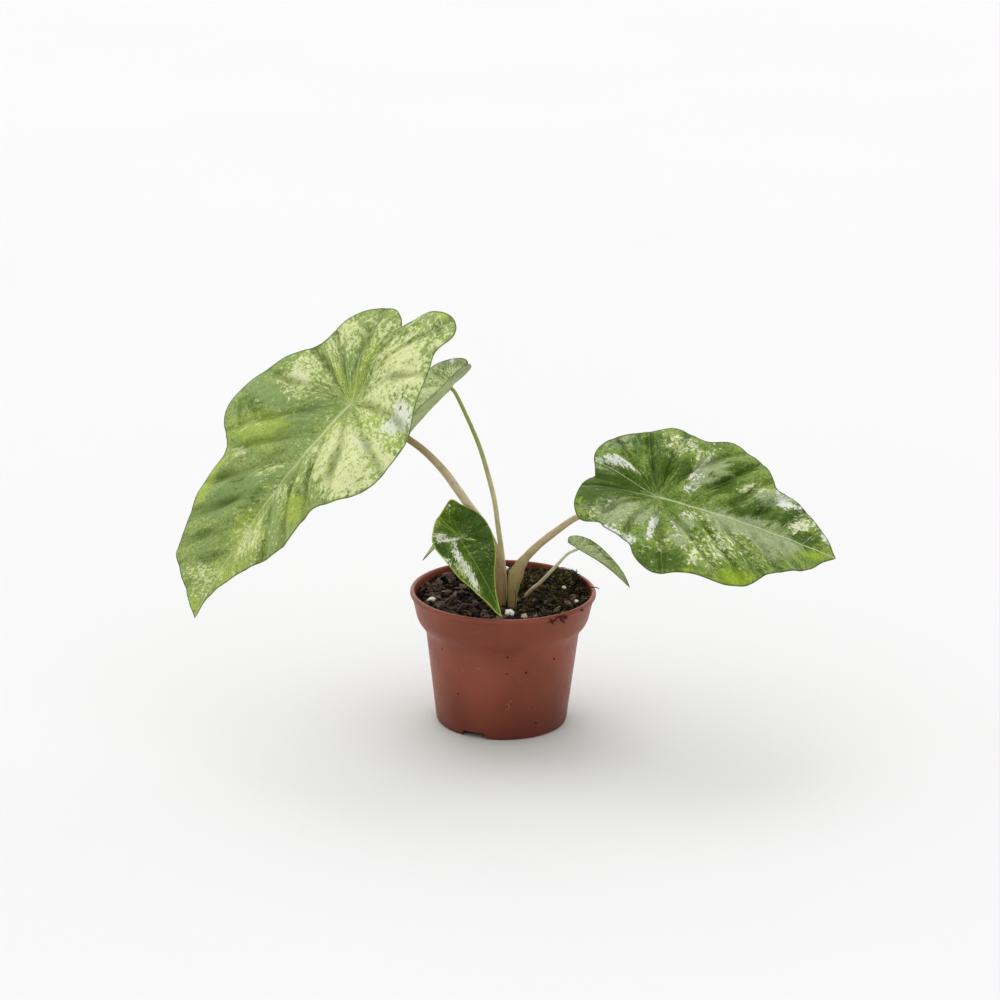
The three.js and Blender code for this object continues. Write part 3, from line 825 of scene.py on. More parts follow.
    def tones(self, x: Array, y: Array) -> dict[Tone, Array]:
        """Lays the leaf's patches out. A patch covers weight exp(-0.7 r^2), r in its half lengths,
        and patches of a tone add up as 1 - product(1 - cover).

        Args:
            x: Places along the midrib.
            y: Places across it.

        Returns:
            For each tone, its strength at each place.
        """
        strength = {tone: np.zeros_like(x) for tone in Tone}
        for tone, rows in self.patches.items():
            place_x, place_y, long, wide, turn, weight = np.array(rows).T[..., None, None]
            cos, sin = np.cos(np.radians(turn)), np.sin(np.radians(turn))
            u = ((x - place_x) * cos + (y - place_y) * sin) / long
            v = (-(x - place_x) * sin + (y - place_y) * cos) / wide
            strength[tone] = 1 - np.prod(1 - weight * np.exp(-0.7 * (u * u + v * v)), axis=0)
        return strength

    def build(self) -> None:
        """Makes the blade: rings of points from hub to edge on both faces, joined at the edge."""
        edge = self.edge()
        spokes = len(edge)
        shares = np.concatenate([np.linspace(0, self.web_share, self.rings), self.edge_shares])
        share = np.repeat(shares[:, None], spokes, axis=1)
        turn = np.repeat(np.concatenate([np.linspace(0, 0.5, self.spokes, endpoint=False),
                                         np.linspace(0.5, 1, self.spokes, endpoint=False)])[None],
                         len(shares), axis=0)
        x, y = share * edge[:, 0], share * edge[:, 1]
        middle = self.sheet(x, y, share, turn)
        tangent = np.roll(middle, -1, axis=1) - np.roll(middle, 1, axis=1)
        normal = unit(np.cross(np.gradient(middle, axis=0), tangent))
        normal[0] = unit(normal[1].mean(axis=0))
        run = unit(np.roll(edge, -1, axis=0) - np.roll(edge, 1, axis=0))
        support = np.abs(edge[:, 0] * run[:, 1] - edge[:, 1] * run[:, 0])
        from_edge = (1 - share) * support
        half = (self.margin_thickness + (self.thickness - self.margin_thickness)
                * smooth_step(from_edge / self.margin_width)) / 2
        # The rib starts just behind the hub and keeps a quarter of its height at the tip.
        slimming = 1 - 0.75 * np.clip(x / self.tip, 0, 1)
        rib = np.exp(-(y / self.rib_width) ** 2) * smooth_step(x / 5 + 0.6) * slimming
        fade = smooth_step(from_edge / 4)
        values = self.carried(x, y, from_edge)
        upper = middle + normal * (half + 0.25 * self.rib_height * rib * fade)[..., None]
        lower = middle - normal * (half + self.rib_height * rib * fade)[..., None]
        piece = self.closed(upper, lower, values).to_object(self.node.replace("blade", "leaf"))
        settle(piece, self.skin.material(), self.node)

    def carried(self, x: Array, y: Array, from_edge: Array) -> dict[str, Array]:
        """Works out the values that the leaf's material reads.

        leaf_vein is the vein count, the gap between two veins and the way along one. leaf_flow
        is the same as millimetres across and along the veins. leaf_place is x, y and the
        distance from the edge. leaf_tone and leaf_more are the marbling's strengths.

        Args:
            x: Places along the midrib.
            y: Places across it.
            from_edge: Their distance from the edge.

        Returns:
            For each value's name, rings x spokes x 3 numbers.
        """
        count = self.vein_count(x, y)
        reach, radius = np.abs(y), np.hypot(x, y)
        lean = self.veins.lean + 2 * self.veins.curve * reach
        gap = np.where(count >= 0, self.veins.spacing / np.hypot(1, lean),
                       math.radians(self.veins.angle) * radius)
        along = np.where(count >= 0, reach * math.hypot(1, self.veins.lean), radius)
        tones = self.tones(x, y)
        return {
            "leaf_vein": np.stack([count, gap, along], -1),
            "leaf_flow": np.stack([count * self.veins.spacing, along, y], -1),
            "leaf_place": np.stack([x, y, from_edge], -1),
            "leaf_tone": np.stack([tones[Tone.CREAM], np.maximum(tones[Tone.LIME], 0.6 * tones[Tone.CREAM]),
                                   tones[Tone.DEEP]], -1),
            "leaf_more": np.stack([tones[Tone.WHITE], tones[Tone.GREY], np.zeros_like(x)], -1),
        }

    def closed(self, upper: Array, lower: Array, values: dict[str, Array]) -> Shell:
        """Joins the two faces to one closed shell.

        Args:
            upper: The upper face, rings x spokes x 3, the first ring all at the hub.
            lower: The lower face.
            values: The values of a face's points.

        Returns:
            The shell: the hub, the upper rings, the lower rings inwards and the lower hub.
        """
        rings = np.concatenate([upper[1:], lower[:0:-1]])
        shell = Shell.from_rings(upper[0, 0], rings, lower[0, 0])
        for key, value in values.items():
            shell.values[key] = np.vstack([
                value[0, :1], value[1:].reshape(-1, 3), value[:0:-1].reshape(-1, 3), value[0, :1]])
        shell.values["leaf_more"][len(shell.points) // 2:, 2] = 1
        return shell


@dataclass
class LeafStalk:
    """One leaf stalk: an oval section carried along its centre line, from under its blade's
    hub down into the mix. A section row is [share of the way, half width, half depth], and
    the sheath is [where it starts, where it is full, where it closes, its groove's depth]. The
    neck is how far it runs square to the blade before it bends away."""

    node: str
    blade: LeafBlade
    line: Rows
    section: Rows
    skin: StalkSkin
    sheath: tuple[float, float, float, float] | None = None
    neck: float | None = None
    foot_height: float = 60.0
    under_blade: float = 0.75
    steps: int = 170
    sides: int = 32

    def build(self) -> None:
        """Makes the stalk. A ring's point is centre + w cos(a) across + d sin(a) outward, and
        the sheath's groove and lips scale its radius on the crown's side."""
        up = self.blade.directions()[2]
        hub, foot = np.array(self.blade.hub), np.array(self.line[-1])
        necks = [] if self.neck is None else [hub - up * (self.under_blade + self.neck)]
        controls = np.vstack([hub - up * self.under_blade, *necks, self.line,
                              [foot[0], foot[1], self.foot_height]])
        path = spline_through(controls, Spline.CENTRIPETAL, self.steps)
        tangent = unit(np.gradient(path, axis=0))
        outward = unit(np.array([hub[0] - foot[0], hub[1] - foot[1], 0.0]))
        sideways = np.array([-outward[1], outward[0], 0.0])
        wide = unit(sideways - tangent * (tangent @ sideways)[:, None])
        deep = np.cross(tangent, wide)
        share = np.linspace(0, 1, self.steps)
        rows = np.array(self.section)
        index = np.clip(np.searchsorted(rows[:, 0], share) - 1, 0, len(rows) - 2)
        blend = smooth_step((share - rows[index, 0]) / (rows[index + 1, 0] - rows[index, 0]))[:, None]
        half = rows[index, 1:] + blend * (rows[index + 1, 1:] - rows[index, 1:])
        angle = -2 * np.pi * np.arange(self.sides) / self.sides
        scale = self.sheath_scale(share, angle)
        rings = path[:, None] + scale[..., None] * (
            wide[:, None] * half[:, None, :1] * np.cos(angle)[None, :, None]
            + deep[:, None] * half[:, None, 1:] * np.sin(angle)[None, :, None])
        shell = Shell.from_rings(path[0], rings, path[-1])
        length = np.linalg.norm(np.diff(path, axis=0), axis=1).sum()
        nothing = np.zeros_like(scale)
        place = np.stack([np.repeat(share[:, None], self.sides, 1), nothing, nothing], -1)
        skin = np.stack([half[:, :1] * np.cos(angle), half[:, 1:] * np.sin(angle),
                         np.repeat(share[:, None] * length, self.sides, 1)], -1)
        for key, value in {"stalk_place": place, "stalk_skin": skin}.items():
            shell.values[key] = np.vstack([value[0, :1], value.reshape(-1, 3), value[-1, :1]])
        piece = shell.to_object(self.node.replace("stalk", "petiole"))
        settle(piece, self.skin.material(), self.node)

    def sheath_scale(self, share: Array, angle: Array) -> Array:
        """Returns how the sheath scales the section at each share and angle.

        With c the angle from the crown's side, the scale is
        1 - groove exp(-(c/0.4)^2) + 0.14 exp(-((|c|-0.75)/0.25)^2), faded along the stalk.

        Args:
            share: Shares of the way along the stalk.
            angle: Angles round it.

        Returns:
            The scale, shares x angles.
        """
        if self.sheath is None:
            return np.ones((len(share), len(angle)))
        start, full, close, groove = self.sheath
        opening = smooth_step((share - start) / (full - start))
        closing = smooth_step((close - share) / (close - full))
        off = np.abs((angle + np.pi / 2 + np.pi) % (2 * np.pi) - np.pi)
        form = -groove * np.exp(-(off / 0.4) ** 2) + 0.14 * np.exp(-((off - 0.75) / 0.25) ** 2)
        return 1 + (opening * closing)[:, None] * form[None]


@dataclass
class NurseryPot:
    """The 12 cm moulded nursery pot: its outline, its drain notches and holes, and its marks.

    The lifts are how far a scuff, a rootlet and a speck stand out of the wall, and the speck's
    tilt is its half length in degrees round the pot and how far it rises in millimetres."""

    outline: Rows = (
        (22, 0), (23, 4.4), (38.6, 4.4), (39.1, 0), (41.3, 0), (42.2, 0.6), (42.6, 2.5), (49.6, 61.5),
        (55.1, 68.6), (58.6, 84.4), (59.8, 84.9), (60, 86),
        (59.6, 87.4), (58.7, 88), (57.6, 87.8), (57, 86.8), (54.1, 70), (52.96, 67.9), (50.97, 65.5),
        (48.4, 62.5), (41.7, 5.6), (20.8, 5.6), (19.6, 1.2),
    )
    wall_rows: tuple[int, int] = (4, 12)
    wall: float = 1.2
    segments: int = 192
    fillet: float = 3.5
    notch_angles: tuple[float, float] = (-114.7, 65.3)
    notch_height: float = 4.0
    notch_foot_width: float = 17.0
    notch_top_width: float = 14.0
    notch_reach: tuple[float, float] = (32.0, 44.0)
    drain_holes: int = 6
    drain_radius: float = 4.0
    drain_circle: float = 30.5
    drain_heights: tuple[float, float] = (2.0, 8.0)
    sharp_angle: float = 38.0
    mark_steps: int = 12
    scuff_radius: float = 0.24
    rootlet_radius: float = 0.85
    speck_tilt: tuple[float, float] = (1.0, 0.3)
    lifts: tuple[float, float, float] = (-0.12, 0.1, -0.4)
    scuffs: tuple[Rows, ...] = (
        ((-119.7, 57.4), (-119.4, 54.7)),
        ((-124.8, 49.4), (-121.3, 47.3), (-124.8, 43.8)),
        ((-112.5, 51.5), (-109.3, 49.8), (-105.3, 51.7)),
        ((-83.4, 29.7), (-82.5, 26.8)),
        ((-46.1, 33.6), (-44.5, 31.1)),
        ((-45.3, 22.8), (-43.7, 20.3)),
        ((-105.6, 79.7), (-105.1, 76.9)),
        ((-88.0, 24.6), (-85.9, 26.6), (-83.8, 24.4), (-85.6, 21.6), (-88.2, 22.8)),
    )
    specks: Rows = (
        (-141.7, 57.4, 0.8), (-86.2, 59.3, 1.1), (-86.3, 47.6, 0.9), (-71.5, 47.5, 1.1), (-47.3, 53.6, 1.1),
        (-127.7, 29.1, 0.8), (-59.4, 10.4, 1.0), (12.0, 40.0, 0.7), (48.0, 66.0, 0.6), (151.0, 33.0, 0.8),
        (104.0, 52.0, 0.6), (80.0, 18.0, 0.7),
    )
    rootlets: tuple[Rows, ...] = (
        ((-60.6, 87.0), (-58.6, 84.3), (-56.4, 81.6)),
        ((-61.2, 84.2), (-58.4, 84.4), (-55.4, 86.0)),
        ((-56.3, 86.6), (-51.9, 86.4), (-47.4, 86.0)),
        ((-53.8, 86.4), (-50.1, 82.9), (-46.6, 80.2)),
        ((-51.2, 84.0), (-48.6, 85.0), (-45.8, 84.2)),
        ((-34.9, 86.4), (-31.7, 85.4)),
    )

    def filleted(self) -> Array:
        """Rounds the outline's corners by curves start (1-t)^2 + 2 corner t(1-t) + end t^2.

        Returns:
            The outline as rows of [radius, height].
        """
        points = np.array(self.outline, float)
        corner = points[1:-1]
        lead, trail = points[:-2] - corner, points[2:] - corner
        shorter = np.minimum(np.linalg.norm(lead, axis=1), np.linalg.norm(trail, axis=1))
        reach = np.minimum(self.fillet, 0.4 * shorter)[:, None]
        start, end = corner + unit(lead) * reach, corner + unit(trail) * reach
        t = np.linspace(0, 1, 7)[None, :, None]
        curves = start[:, None] * (1 - t) ** 2 + 2 * corner[:, None] * t * (1 - t) + end[:, None] * t * t
        return np.vstack([points[:1], curves.reshape(-1, 2), points[-1:]])

    def turned(self) -> Shell:
        """Turns the outline round the pot's axis: (r cos a, r sin a, z).

        Returns:
            The closed shell of the pot, without its notches and holes.
        """
        outline = self.filleted()
        angle = 2 * np.pi * np.arange(self.segments) / self.segments
        rings = np.stack([outline[:, :1] * np.cos(angle), outline[:, :1] * np.sin(angle),
                          np.repeat(outline[:, 1:], self.segments, 1)], -1)
        return Shell.from_rings(np.zeros(3), rings[:, ::-1], np.array([0, 0, self.wall]))

    def notch(self, angle: float) -> Shell:
        """Makes the wedge that cuts one drain notch out of the foot, narrow side up.

        Args:
            angle: Where it lies round the pot, in degrees.

        Returns:
            The wedge.
        """
        low, high = self.notch_foot_width / 2 + 1, self.notch_top_width / 2
        reach = np.array(self.notch_reach)
        outward = np.array([math.cos(math.radians(angle)), math.sin(math.radians(angle)), 0])
        across = np.array([-outward[1], outward[0], 0])
        side = np.array([-low, low, high, -high])
        height = np.array([-1.4, -1.4, self.notch_height, self.notch_height])
        rings = (outward * reach[:, None, None] + across * side[None, :, None]
                 + np.array([0, 0, 1]) * height[None, :, None])
        middle = rings.mean(axis=1)
        return Shell.from_rings(middle[1], rings[::-1], middle[0])

    def drain(self, number: int) -> Shell:
        """Makes the plug that cuts one drain hole through the pot's floor.

        Args:
            number: The hole's number round the pot.

        Returns:
            The plug.
        """
        turn = 2 * np.pi * (number + 0.5) / self.drain_holes
        centre = self.drain_circle * np.array([math.cos(turn), math.sin(turn), 0])
        path = centre + np.array([[0, 0, height] for height in self.drain_heights])
        return tube(path, np.full(2, self.drain_radius), 24)

    def on_wall(self, track: Rows, lift: float) -> Array:
        """Lays a track of (angle, height) on the pot's outer wall.

        Args:
            track: The track's points.
            lift: How far it stands out of the wall.

        Returns:
            mark_steps points along the track.
        """
        outer = np.array(self.outline[slice(*self.wall_rows)], float)
        angle, height = spline_through(track, Spline.EVEN, self.mark_steps).T
        radius = np.interp(height, outer[:, 1], outer[:, 0]) + lift
        turn = np.radians(angle)
        return np.stack([radius * np.cos(turn), radius * np.sin(turn), height], -1)

    def marks(self) -> dict[str, Shell]:
        """Makes the pale scuffs, dark specks and dry rootlets on the wall, as thin strands.

        Returns:
            For each piece's name, its strands in one shell.
        """
        taper = np.sin(np.linspace(0.25, np.pi - 0.25, self.mark_steps))
        scuff_lift, rootlet_lift, speck_lift = self.lifts
        scuffs = [tube(self.on_wall(track, scuff_lift), self.scuff_radius * taper, 6)
                  for track in self.scuffs]
        rootlets = [tube(self.on_wall(track, rootlet_lift), self.rootlet_radius * taper, 6)
                    for track in self.rootlets]
        half, slope = self.speck_tilt
        specks = [tube(self.on_wall(((angle - half, height), (angle + half, height + slope)), speck_lift),
                       size * taper, 8) for angle, height, size in self.specks]
        return {"pot_scuffs": Shell.joined(scuffs), "pot_specks": Shell.joined(specks),
                "pot_rootlets": Shell.joined(rootlets)}

    def build(self) -> None:
        """Makes the pot and its marks."""
        pot = self.turned().to_object("nursery_pot")
        cutters = [self.notch(angle) for angle in self.notch_angles]
        cutters += [self.drain(number) for number in range(self.drain_holes)]
        carve(pot, Shell.joined(cutters))
        pot.data.set_sharp_from_angle(angle=math.radians(self.sharp_angle))
        settle(pot, MouldedPolypropylene().material(), "pot")
        finishes = {
            "pot_scuffs": MixFinish("mineral_dust_scuff", "#965e4c", "#a87464", "#c09484", 0.8, 0.85, 0.05),
            "pot_specks": MixFinish("dried_soil_speck", "#421c15", "#56281e", "#6a382c", 0.6, 0.8, 0.1),
            "pot_rootlets": MixFinish("dry_root_hair", "#35100a", "#541c12", "#742f20", 0.8, 0.7, 0.1),
        }
        for name, shell in self.marks().items():
            shell.values["grain_tint"] = np.full_like(shell.points, 0.5)
            settle(shell.to_object(name), finishes[name].material())


def carve(piece: bpy.types.Object, shell: Shell) -> None:
    """Cuts a shell's room out of a piece with an exact Boolean modifier, and applies it.

    Args:
        piece: The piece that is cut.
        shell: The closed shells that cut it.
    """
    cutter = shell.to_object(piece.name + "_cutter")
    modifier = piece.modifiers.new("cut", "BOOLEAN")
    modifier.operation = "DIFFERENCE"
    modifier.solver = "EXACT"
    modifier.object = cutter
    graph = bpy.context.evaluated_depsgraph_get()
    cut = bpy.data.meshes.new_from_object(piece.evaluated_get(graph))
    piece.modifiers.clear()
    piece.data = cut
    bpy.data.objects.remove(cutter)


@dataclass(frozen=True)
class Litter:
    """Small broken grains on the mix. The spread is their number and the radii that they lie
    between. The smallest and the largest are half sizes, the sides those of the block that a
    grain is cut from, the lift its middle's height as a share of its half height, the tilt the
    most that it leans, in radians, and ragged how uneven its points are."""

    spread: tuple[int, float, float]
    smallest: float | tuple[float, ...]
    largest: float | tuple[float, ...]
    sides: int
    lift: float
    tilt: float
    ragged: float


@dataclass(frozen=True)
class Strands:
    """Thin bent strands that grow or lie on the mix: the shortest and the longest, their radius
    and how steeply they rise, from 0 to 1."""

    length: tuple[float, float]
    radius: float
    rise: float


@dataclass
class PottingMix:
    """The potting mix: its body, which fills the pot, and what lies on it. A heap's row is
    [x, y, spread in x, spread in y, number]."""

    height: float = 83.0
    tilt: float = 0.027
    edge_radius: float = 55.4
    hollow: tuple[float, ...] = (3, -6, -6, 17)
    mound: tuple[float, ...] = (44, 26, 6, 11)
    moss_heap: tuple[float, ...] = (34, 32, 18)
    wall: Rows = ((53.75, 70), (52.61, 67.9), (50.62, 65.5), (48.05, 62.5), (41.35, 5.95), (20.45, 5.95),
                  (19.25, 1.55))
    foot: float = 1.55
    sunk: float = 0.7
    seed: int = 23
    columns: int = 260
    rows: int = 90
    litter_radius: float = 55.0
    strand_radius: float = 56.5
    moss_side: float = 4.0
    kept_share: float = 0.35
    chips: Litter = Litter((230, 8, 52), (2.4, 1.5, 0.6), (5.4, 3.0, 1.2), 7, 0.8, 0.55, 0.28)
    crumbs: Litter = Litter((620, 0, 54.5), 0.5, 1.5, 5, 0.2, 1.2, 0.3)
    fines: Litter = Litter((2600, 0, 54.8), 0.2, 0.6, 3, 0.4, 1.5, 0.3)
    perlite_dust: Litter = Litter((16, 10, 52), 0.3, 0.7, 6, 0.7, 0.8, 0.15)
    moss_tufts: Litter = Litter((620, 0, 55), 0.7, 1.9, 5, 0.5, 1.2, 0.35)
    moss_heaps: Rows = ((32, 33, 12, 7, 1100), (30, 2, 13, 16, 700))
    moss: Strands = Strands((2.5, 8.0), 0.36, 0.5)
    coir: Strands = Strands((4.0, 11.0), 0.16, 0.25)
    coir_spread: tuple[int, float, float] = (90, 8, 53)
    twigs: Strands = Strands((3.0, 6.5), 0.42, 0.55)
    twig_heap: Rows = ((50, 19, 3, 6, 60),)
    rim_twig: Rows = ((50, 4, 86.5), (56, 3, 88.6), (60, 2.6, 88.9), (62, 1.8, 88.2))
    root: Rows = ((7.5, -13, 92), (8.0, -15, 87), (7.6, -17, 81), (8.2, -20, 77))
    perlite: Rows = (
        (-46, -12.5, 2.7), (4.3, -31, 2.9), (13.7, -37, 2.4), (2.2, 50, 2), (39.4, 12, 1.6), (47, -10, 1.7),
        (-22, 20, 1.4), (-8, 42, 2.0),
    )

    def top(self, x: Array, y: Array) -> Array:
        """Works out the height of the mix: a slope, two slow swells, the hollow and the mound.

        The hollow and the mound are bells, rise exp(-(distance / spread)^2).

        Args:
            x: Places to the pot's right.
            y: Places toward its back.

        Returns:
            The height at each place.
        """
        swell = 0.7 * np.sin(x / 13 + 0.6) * np.cos(y / 16 - 0.4) + 0.5 * np.sin((x + 2 * y) / 9)
        bells = sum(rise * np.exp(-((x - cx) ** 2 + (y - cy) ** 2) / spread ** 2)
                    for cx, cy, rise, spread in (self.hollow, self.mound))
        return self.height + self.tilt * y + swell + bells

    def body(self) -> Shell:
        """Makes the body: a fine rough top, z = top - sunk + three noises, over the CAD part's wall.

        Returns:
            The closed shell, with a tint that follows its roughness.
        """
        angle = -2 * np.pi * np.arange(self.columns) / self.columns
        radius = np.linspace(0, self.edge_radius, self.rows + 1)[1:, None]
        x, y = radius * np.cos(angle), radius * np.sin(angle)
        rough = (0.8 * lattice_noise(x, y, 4.5, 1) + 0.5 * lattice_noise(x, y, 2.2, 2)
                 + 0.3 * lattice_noise(x, y, 1.1, 3))
        z = self.top(x, y) - self.sunk + rough * smooth_step((self.edge_radius - radius) / 2)
        wall = np.array([(r * np.cos(angle), r * np.sin(angle), np.full(self.columns, z))
                         for r, z in self.wall])
        rings = np.concatenate([np.stack([x, y, z], -1), wall.transpose(0, 2, 1)])
        middle = self.top(0, 0) - self.sunk
        shell = Shell.from_rings(np.array([0, 0, middle]), rings[:, ::-1], np.array([0, 0, self.foot]))
        tint = np.concatenate([[0.4], 0.5 + 0.3 * rough.ravel(),
                               np.full(len(self.wall) * self.columns + 1, 0.4)])
        shell.values["grain_tint"] = np.repeat(tint[:, None], 3, axis=1)
        return shell

    def strewn(self, draw: np.random.Generator, litter: Litter, places: Array) -> Shell:
        """Lays one kind of litter, each grain of its own random size.

        Args:
            draw: The seeded random numbers.
            litter: The kind.
            places: Where each grain lies, grains x 2.

        Returns:
            All the grains in one shell.
        """
        sizes = draw.uniform(litter.smallest, litter.largest, (len(places), 3))
        return self.scattered(draw, plate(litter.sides), places, sizes, litter.lift, litter.tilt,
                              litter.ragged)

    def scattered(self, draw: np.random.Generator, base: Shell, places: Array, sizes: Array, lift: float,
                  tilt: float, ragged: float) -> Shell:
        """Lays many copies of a small form on the mix, each turned, sized and broken its own way.

        A point is place + turn(size * base * (1 + ragged noise)).

        Args:
            draw: The seeded random numbers.
            base: The form, about 1 mm in half size.
            places: Where each copy lies, copies x 2.
            sizes: Its half sizes, copies x 3.
            lift: The height of its middle over the mix, as a share of its half height.
            tilt: The most that it leans, in radians.
            ragged: How uneven its points are.

        Returns:
            All the copies in one shell, with a tint for each.
        """
        count, corners = len(places), len(base.points)
        rough = 1 + ragged * draw.uniform(-1, 1, (count, corners, 1))
        points = base.points[None] * rough * sizes[:, None]
        spin = draw.uniform(0, 2 * np.pi, count)
        lean_x, lean_y = draw.uniform(-tilt, tilt, (2, count))
        matrices = turn_matrices(spin, lean_x, lean_y)
        points = np.einsum("nij,nkj->nki", matrices, points)
        height = self.top(places[:, 0], places[:, 1]) + lift * sizes[:, 2]
        points += np.column_stack([places, height])[:, None]
        step = (np.arange(count) * corners)[:, None, None]
        tint = np.repeat(draw.uniform(0, 1, (count, 1)), corners, axis=0)
        return Shell(points.reshape(-1, 3), (base.quads[None] + step).reshape(-1, 4),
                     (base.triangles[None] + step).reshape(-1, 3),
                     {"grain_tint": np.repeat(tint, 3, axis=1)})

    def disc(self, draw: np.random.Generator, count: int, inner: float, outer: float) -> Array:
        """Spreads random places evenly between two radii.

        Args:
            draw: The seeded random numbers.
            count: How many places.
            inner: The smaller radius.
            outer: The larger radius.

        Returns:
            The places, count x 2.
        """
        radius = np.sqrt(draw.uniform(inner ** 2, outer ** 2, count))
        angle = draw.uniform(0, 2 * np.pi, count)
        return np.column_stack([radius * np.cos(angle), radius * np.sin(angle)])

    def clear_of_moss(self, places: Array) -> Array:
        """Moves the places in the moss heap straight across the pot."""
        inside = np.hypot(*(places - self.moss_heap[:2]).T) < self.moss_heap[2]
        return np.where(inside[:, None], -places, places)

    def grown(self, draw: np.random.Generator, kind: Strands, places: Array) -> Shell:
        """Grows short bent strands on the mix: start + t run + sin(pi t) bow, t from 0 to 1.

        Args:
            draw: The seeded random numbers.
            kind: Their sizes.
            places: Where each starts, strands x 2.

        Returns:
            All the strands in one shell, with a tint for each.
        """
        t = np.linspace(0, 1, 7)[:, None]
        shells = []
        for x, y in places:
            turn, long = draw.uniform(0, 2 * np.pi), draw.uniform(*kind.length)
            run = long * np.array([math.cos(turn), math.sin(turn), draw.uniform(0, kind.rise)])
            bow = 0.3 * long * draw.uniform(-1, 1, 3) * [1, 1, 0.5]
            path = np.array([x, y, self.top(x, y) + 0.2]) + t * run + np.sin(np.pi * t) * bow
            # What would pass the rim is drawn in to it.
            from_axis = np.maximum(np.hypot(path[:, 0], path[:, 1]), 1e-6)
            inside = np.minimum(1, self.strand_radius / from_axis)
            path[:, :2] *= inside[:, None]
            strand = tube(path, kind.radius * (1 - 0.6 * t[:, 0]), 4)
            strand.values["grain_tint"] = np.full_like(strand.points, draw.uniform(0, 1))
            shells.append(strand)
        return Shell.joined(shells)

    def heaped(self, draw: np.random.Generator, heaps: Rows) -> Array:
        """Spreads random places in heaps, densest in their middles.

        Args:
            draw: The seeded random numbers.
            heaps: A row for each heap.

        Returns:
            The places that lie in the pot, places x 2.
        """
        places = np.vstack([draw.normal((0, 0), (wide, deep), (count, 2)) + [x, y]
                            for x, y, wide, deep, count in heaps])
        return places[np.hypot(places[:, 0], places[:, 1]) < self.litter_radius]

    def lay(self, name: str, shell: Shell, finish: MixFinish, smooth: bool = False) -> None:
        """Makes a piece of what lies on the mix from its shell, and dresses it."""
        settle(shell.to_object(name, smooth), finish.material())

    def build(self) -> None:
        """Makes the mix's body and everything that lies on it."""
        draw = np.random.default_rng(self.seed)
        body = MixFinish("damp_peat", "#090603", "#160f09", "#2a1f14", 1.6, 0.95, 0.5)
        settle(self.body().to_object("peat_body"), body.material(), "soil")
        bark = MixFinish("composted_pine_bark", "#150c07", "#39271c", "#7f675a", 1.4, 0.75, 0.5)
        places = self.clear_of_moss(self.disc(draw, *self.chips.spread))
        # Right of the stalks, where moss grows, about one chip in three is kept.
        kept = (places[:, 0] < self.moss_side) | (draw.uniform(0, 1, len(places)) < self.kept_share)
        self.lay("bark_chips", self.strewn(draw, self.chips, places[kept]), bark)
        places = self.clear_of_moss(self.disc(draw, *self.crumbs.spread))
        self.lay("bark_crumbs", self.strewn(draw, self.crumbs, places), bark)
        peat = MixFinish("peat_fines", "#0b0704", "#1f160e", "#43341f", 1.0, 0.9, 0.2)
        self.lay("peat_fines", self.strewn(draw, self.fines, self.disc(draw, *self.fines.spread)), peat)
        self.build_perlite(draw)
        self.build_growth(draw)

    def build_perlite(self, draw: np.random.Generator) -> None:
        """Makes the puffed perlite grains, each a bumpy ball, and the smallest between them.

        Args:
            draw: The seeded random numbers.
        """
        rows = np.array(self.perlite)
        sizes = rows[:, 2:] * [[1.15, 0.95, 0.92]]
        large = self.scattered(draw, lumpy_ball(14, 22), rows[:, :2], sizes, 0.4, 0.6, 0.08)
        small = self.strewn(draw, self.perlite_dust, self.disc(draw, *self.perlite_dust.spread))
        finish = MixFinish("puffed_perlite", "#a89c8c", "#f6f2ea", "#fffdf8", 0.9, 0.9, 0.6)
        self.lay("perlite_grains", Shell.joined([large, small]), finish, smooth=True)

    def build_growth(self, draw: np.random.Generator) -> None:
        """Makes the moss at the back right, the fibres, the twigs and the dry root in front.

        Args:
            draw: The seeded random numbers.
        """
        places = self.heaped(draw, self.moss_heaps)
        tufts = self.strewn(draw, self.moss_tufts, places[:self.moss_tufts.spread[0]] * [1, 0.97])
        moss = MixFinish("creeping_moss", "#110f09", "#37321b", "#746a3e", 1.5, 0.85, 0.1)
        self.lay("moss_strands", self.grown(draw, self.moss, places), moss, smooth=True)
        self.lay("moss_clumps", tufts, moss)
        fibre = MixFinish("coir_fibre", "#3a2618", "#5c4330", "#8a6c4e", 1.0, 0.8, 0.1)
        fibres = self.grown(draw, self.coir, self.disc(draw, *self.coir_spread))
        self.lay("coir_fibres", fibres, fibre, smooth=True)
        twig = MixFinish("dead_twig", "#171210", "#2b221d", "#4a3d35", 1.0, 0.85, 0.15)
        heap = self.grown(draw, self.twigs, self.heaped(draw, self.twig_heap))
        over_rim = self.bent(self.rim_twig, 14, (0.5, 0.25))
        self.lay("dead_twigs", Shell.joined([heap, over_rim]), twig, smooth=True)
        self.lay("dry_root", self.bent(self.root, 20, (0.3, 0.45)), fibre, smooth=True)

    def bent(self, line: Rows, count: int, radii: tuple[float, float]) -> Shell:
        """Makes one twig or root along a curve.

        Args:
            line: The curve's control points.
            count: How many points the curve gets.
            radii: Its radius at each end.

        Returns:
            The twig or root.
        """
        strand = tube(spline_through(line, Spline.CENTRIPETAL, count), np.linspace(*radii, count), 6)
        strand.values["grain_tint"] = np.full_like(strand.points, 0.7)
        return strand


